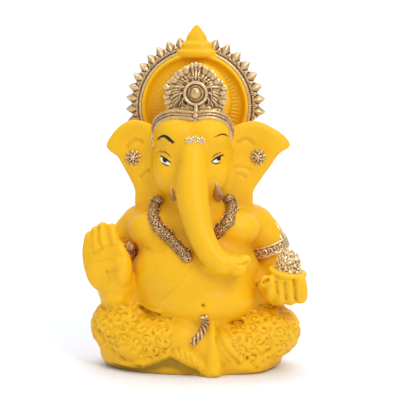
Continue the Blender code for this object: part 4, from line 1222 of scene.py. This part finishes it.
# cords: spread, set back, rise and thickness
headbandSizes = {"left": ((-17.8, 98.6), (-17.4, 103.8), (-15.4, 108.2), (-10.4, 110.9), (-5, 111),
                          (0.6, 110.4)),
                 "right": ((15.6, 99), (15.6, 104.4), (13.5, 108.7), (9, 110.9), (4.4, 111.1),
                           (0.9, 110.4)),
                 "cords": ((1.0, 0.0, 0.0, 0.9), (1.015, 0.35, 1.35, 0.75), (1.04, 0.8, 2.6, 0.9)),
                 "grid": 0.00022, "dull": 0.03}


def headband():
    depth = frontOf(head, crown)

    def build(bm):
        for side in ("left", "right"):
            path = laidOn(depth, headbandSizes[side], 0.55)
            for out, back, rise, thick in headbandSizes["cords"]:
                cord = [(x * out, y + back, z + rise) for x, y, z in path]
                addRoll(bm, cord, [thick * 0.7] + [thick] * (len(cord) - 1), sides=10)
        x, y, z = laidOn(depth, [(1.0, 111.0)])[0]
        addBlob(bm, (x, y - 1.2, z + 0.9), (1.4, 1.3, 1.5))
        addBlob(bm, (x + 0.1, y - 1.2, z - 0.9), (1.7, 1.3, 1.5))

    castGold("headband", meshFrom(build), headbandSizes)


browSizes = {"flowers": ((-1.4, 101.9), (1.3, 102.4), (4.0, 101.8)), "petals": 6,
             "grid": 0.00018, "dull": -0.1}


def browMark():
    depth = frontOf(head)

    def build(bm):
        for x, y, z in laidOn(depth, browSizes["flowers"]):
            addBlob(bm, (x, y, z), (1.5, 1.1, 1.5))
            for k in range(browSizes["petals"]):
                a = 2 * math.pi * k / browSizes["petals"] + 0.4
                addBlob(bm, (x + 1.15 * math.cos(a), y - 0.45, z + 1.15 * math.sin(a)),
                        (0.6, 0.75, 0.6), fine=2)

    castGold("browMark", meshFrom(build), browSizes)


# rings of leaves: count, radius, how far proud and size
studSizes = {"places": ((-27.0, 92.9), (27.1, 93.6)), "leaf": (2.8, 2.0, 1.2),
             "rings": ((9, 1.0, 0.5, 1.0), (7, 0.5, 1.3, 0.62)), "grid": 0.0002, "dull": 0.05}


def earStuds():
    spots = laidOn(frontOf(ears), studSizes["places"])

    def buttons(bm):
        for x, y, z in spots:
            addBlob(bm, (x, y, z), (3.0, 1.6, 3.0))
            addBlob(bm, (x, y - 1.7, z), (1.15, 0.9, 1.15))

    petal = template("studPetal", lambda bm: addLeaf(bm, *studSizes["leaf"]))
    mesh = meshFrom(buttons)
    for x, y, z in spots:
        for count, reach, out, size in studSizes["rings"]:
            mesh = grownMesh("studs", mesh, ringOf, {
                "Leaf": petal, "Count": count, "Centre": [x * unit, (y - out) * unit, z * unit],
                "Radius": reach * unit, "First": 0.3, "Step": 2 * math.pi / count, "Size": size,
                "Paint": gold})
    castGold("earStuds", mesh, studSizes)


tuskSizes = {"sides": ((((-9.1, 82.2), (-9.0, 78.8), (-8.8, 76.5)), (0.35, 1.1, 1.5)),
                       (((9.9, 83.8), (10.3, 80), (10.6, 77.8)), (0.4, 1.9, 2.7))),
             "grid": 0.0002, "dull": 0.06}


def tusks():
    depth = frontOf(mass)

    def build(bm):
        for places, radii in tuskSizes["sides"]:
            path = [(x, y - 0.5 * k, z) for k, (x, y, z) in enumerate(laidOn(depth, places, -0.1))]
            addRoll(bm, path, radii, flat=0.6, sides=14)
            ridge = [(px, py - r * 0.5, pz) for (px, py, pz), r in zip(path, radii)]
            addRoll(bm, ridge, (0.2, 0.45, 0.55), sides=8)

    castGold("tusks", meshFrom(build), tuskSizes)


# hoops: shift along the arm, radius and half width; scroll: angle and rise of each point
bandSizes = {"up": 4.8, "hoops": ((0, 8.4, 2.3), (2.1, 8.85, 0.35), (-2.1, 8.85, 0.35)),
             "scrolls": 20, "scrollRadius": 8.5,
             "scroll": ((-0.13, -1.3), (0.06, -1.2), (0.12, 0), (0.02, 1.1), (-0.07, 0.7), (-0.04, 0)),
             "grid": 0.00024, "dull": -0.06}


def armbands():
    def build(bm):
        for arm, side in ((arms["right"], 1), (arms["left"], -1)):
            low, high = Vector(arm[2]), Vector(arm[1])
            ahead = (high - low).normalized()
            middle = low + ahead * bandSizes["up"]
            facing = ahead.to_track_quat("Z", "Y")
            turn = [math.degrees(a) for a in facing.to_euler()]
            for shift, radius, half in bandSizes["hoops"]:
                profile = ((radius - 4, -half - 0.2), (radius, -half), (radius, half),
                           (radius - 4, half + 0.2))
                addTurned(bm, profile, middle + ahead * shift, turn=turn)

            reach = bandSizes["scrollRadius"]
            for k in range(bandSizes["scrolls"]):
                a = 2 * math.pi * k / bandSizes["scrolls"]
                scroll = [middle + facing @ Vector((math.cos(a + b) * reach, math.sin(a + b) * reach,
                                                    rise)) for b, rise in bandSizes["scroll"]]
                addRoll(bm, scroll, (0.25, 0.3, 0.34, 0.3, 0.28, 0.2), sides=8, steps=3)
            if side < 0:
                addBlob(bm, middle + Vector((4.0, -8.4, 2.1)), (2.1, 1.5, 2.1))
            else:
                edge = middle + Vector((-6.6, -5.4, -1.4))
                addRoll(bm, [edge + Vector((0.2, 0, -2.6)), edge, edge + Vector((-0.2, 0, 2.6))],
                        (0.5, 0.7, 0.5), sides=10)
            for spread in (-1, 0, 1):
                leaf = [middle + Vector((side * 7.2, -3.6, -0.4)),
                        middle + Vector((side * (6.1 - abs(spread) * 0.7), -3.4 + spread, 3.6)),
                        middle + Vector((side * (3.1 - spread * 0.5), -2.6 + spread,
                                         10.2 - abs(spread) * 2.4))]
                addRoll(bm, leaf, (1.6, 1.2, 0.4), sides=10)

    castGold("armbands", meshFrom(build), bandSizes)


sweetSizes = {"heap": (5.1, 5.4, 8.7), "grain": (1.05, 0.6, 0.3), "tilt": -28, "gap": 1.05,
              "lean": 0.25, "seed": 2, "grid": 0.00022, "dull": -0.1}


def sweets():
    x, y, z = tray["centre"]
    top = z + tray["thickness"] / 2

    def grain(bm):
        addBlob(bm, (0.3, 0, 0.3), sweetSizes["grain"], turn=(0, sweetSizes["tilt"], 0))

    heap = meshFrom(lambda bm: addBlob(bm, (x + 0.4, y + 0.5, top - 0.6), sweetSizes["heap"]))
    castGold("sweets", strewn("sweets", heap, grain, sweetSizes), sweetSizes)


beltSizes = {"places": ((5.8, 27.8), (6.4, 24.4), (4.8, 20.4), (1.6, 16.8)),
             "core": (0.8, 1.1, 1.2, 1.2), "reach": 1.2, "thick": 0.78, "turns": 2.2, "strands": 3,
             "grid": 0.0002, "dull": 0.08}


def beltEnd():
    depth = frontOf(torso, legs, foot)

    def cords(bm):
        addRoll(bm, laidOn(depth, beltSizes["places"], 0.4), beltSizes["core"], sides=14)
        addBraid(bm, laidOn(depth, beltSizes["places"], 0.9), beltSizes["reach"],
                 beltSizes["thick"], beltSizes["turns"], beltSizes["strands"])

    castGold("beltEnd", meshFrom(cords), beltSizes)


print("finishing the body")
body = finishPiece("body", skin, yellow)
shadeFoot(body.data)
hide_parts("statue")
for make in (haloSpikes, crest, headband, browMark, earStuds, tusks, garland, armbands, sweets,
             beltEnd):
    print("making", make.__name__)
    make()
for made in templates:
    bpy.data.objects.remove(made)
for piece in [body] + goldPieces:
    print(piece.name, sum(len(f.vertices) - 2 for f in piece.data.polygons))


# The photographer's table

# aim and span are in parts; lamps are a name, size, power, place and aim, in metres and watts;
# the card's mottle is in millimetres, drawn coarser than its fibre so that it shows
studio = {"azimuth": 5, "elevation": 7, "distance": 0.85, "aim": (1.75, 0, 71.7),
          "spanAtAim": 174.4, "sky": 0.46, "underfoot": 0.00002, "fibre": 3.333,
          "card": ((0, "EDF1F8"), (1, "F1F4FA")),
          "lamps": (("key", (0.5, 0.6), 6.0, (0.55, -0.75, 0.75), (0, 0, 0.07)),
                    ("fill", (0.9, 0.9), 1.9, (-0.8, -0.9, 0.55), (0, 0, 0.07)),
                    ("top", (0.9, 0.9), 2.5, (0.0, 0.1, 1.1), (0, 0, 0.07)),
                    ("backdrop", (1.6, 0.8), 9.0, (0.0, 0.25, 1.3), (0, 1.0, 0.4)))}


def placeCamera():
    a, e = math.radians(studio["azimuth"]), math.radians(studio["elevation"])
    back = Vector((math.sin(a) * math.cos(e), -math.cos(a) * math.cos(e), math.sin(e)))
    camera = bpy.data.cameras.new("camera")
    seen = linked("camera", camera)
    seen.location = Vector(studio["aim"]) * unit + back * studio["distance"]
    seen.rotation_mode = "QUATERNION"
    seen.rotation_quaternion = (-back).to_track_quat("-Z", "Y")
    camera.sensor_width = 36
    camera.lens = camera.sensor_width * studio["distance"] / (studio["spanAtAim"] * unit)
    bpy.context.scene.camera = seen


def addLamp(name, size, power, place, aim):
    lamp = bpy.data.lights.new(name, "AREA")
    lamp.shape = "RECTANGLE"
    lamp.size, lamp.size_y = size
    lamp.energy = power
    made = linked(name, lamp)
    made.location = place
    made.rotation_mode = "QUATERNION"
    made.rotation_quaternion = (Vector(aim) - Vector(place)).to_track_quat("-Z", "Y")


def stageFloor():
    # a sweep of white card that curves up behind the figure
    bm = bmesh.new()
    rows = [(-1.2, 0.0), (0.5, 0.0)]
    rows += [(0.5 + 0.5 * math.sin(t), 0.5 - 0.5 * math.cos(t))
             for t in np.linspace(0, math.pi / 2, 12)[1:]]
    rows.append((1.0, 2.2))
    lines = [[bm.verts.new((x, y, z - studio["underfoot"])) for x in (-2.0, 2.0)]
             for y, z in rows]
    for low, high in zip(lines, lines[1:]):
        bm.faces.new((low[0], low[1], high[1], high[0]))
    mesh = bpy.data.meshes.new("sweep")
    bm.to_mesh(mesh)
    bm.free()
    mesh.shade_smooth()
    card, tree, shader = newMaterial("white card")
    place = addNode(tree, "ShaderNodeTexCoord").outputs["Object"]
    fibre = addNode(tree, "ShaderNodeTexNoise", links=[("Vector", place)],
                    Scale=1000 / studio["fibre"])
    tint = addNode(tree, "ShaderNodeValToRGB", links=[("Fac", fibre.outputs["Fac"])])
    setStops(tint, studio["card"])
    wire(tree, shader, [("Base Color", tint.outputs["Color"])])
    shader.inputs["Roughness"].default_value = 0.6
    mesh.materials.append(card)
    linked("sweep", mesh)


print("lighting")
placeCamera()
stageFloor()
for lamp in studio["lamps"]:
    addLamp(*lamp)
world = bpy.data.worlds.new("studio")
bpy.context.scene.world = world
world.use_nodes = True
sky = world.node_tree.nodes["Background"].inputs
sky["Color"].default_value = srgb("FFFFFF")
sky["Strength"].default_value = studio["sky"]
bpy.context.scene.view_settings.view_transform = "Standard"
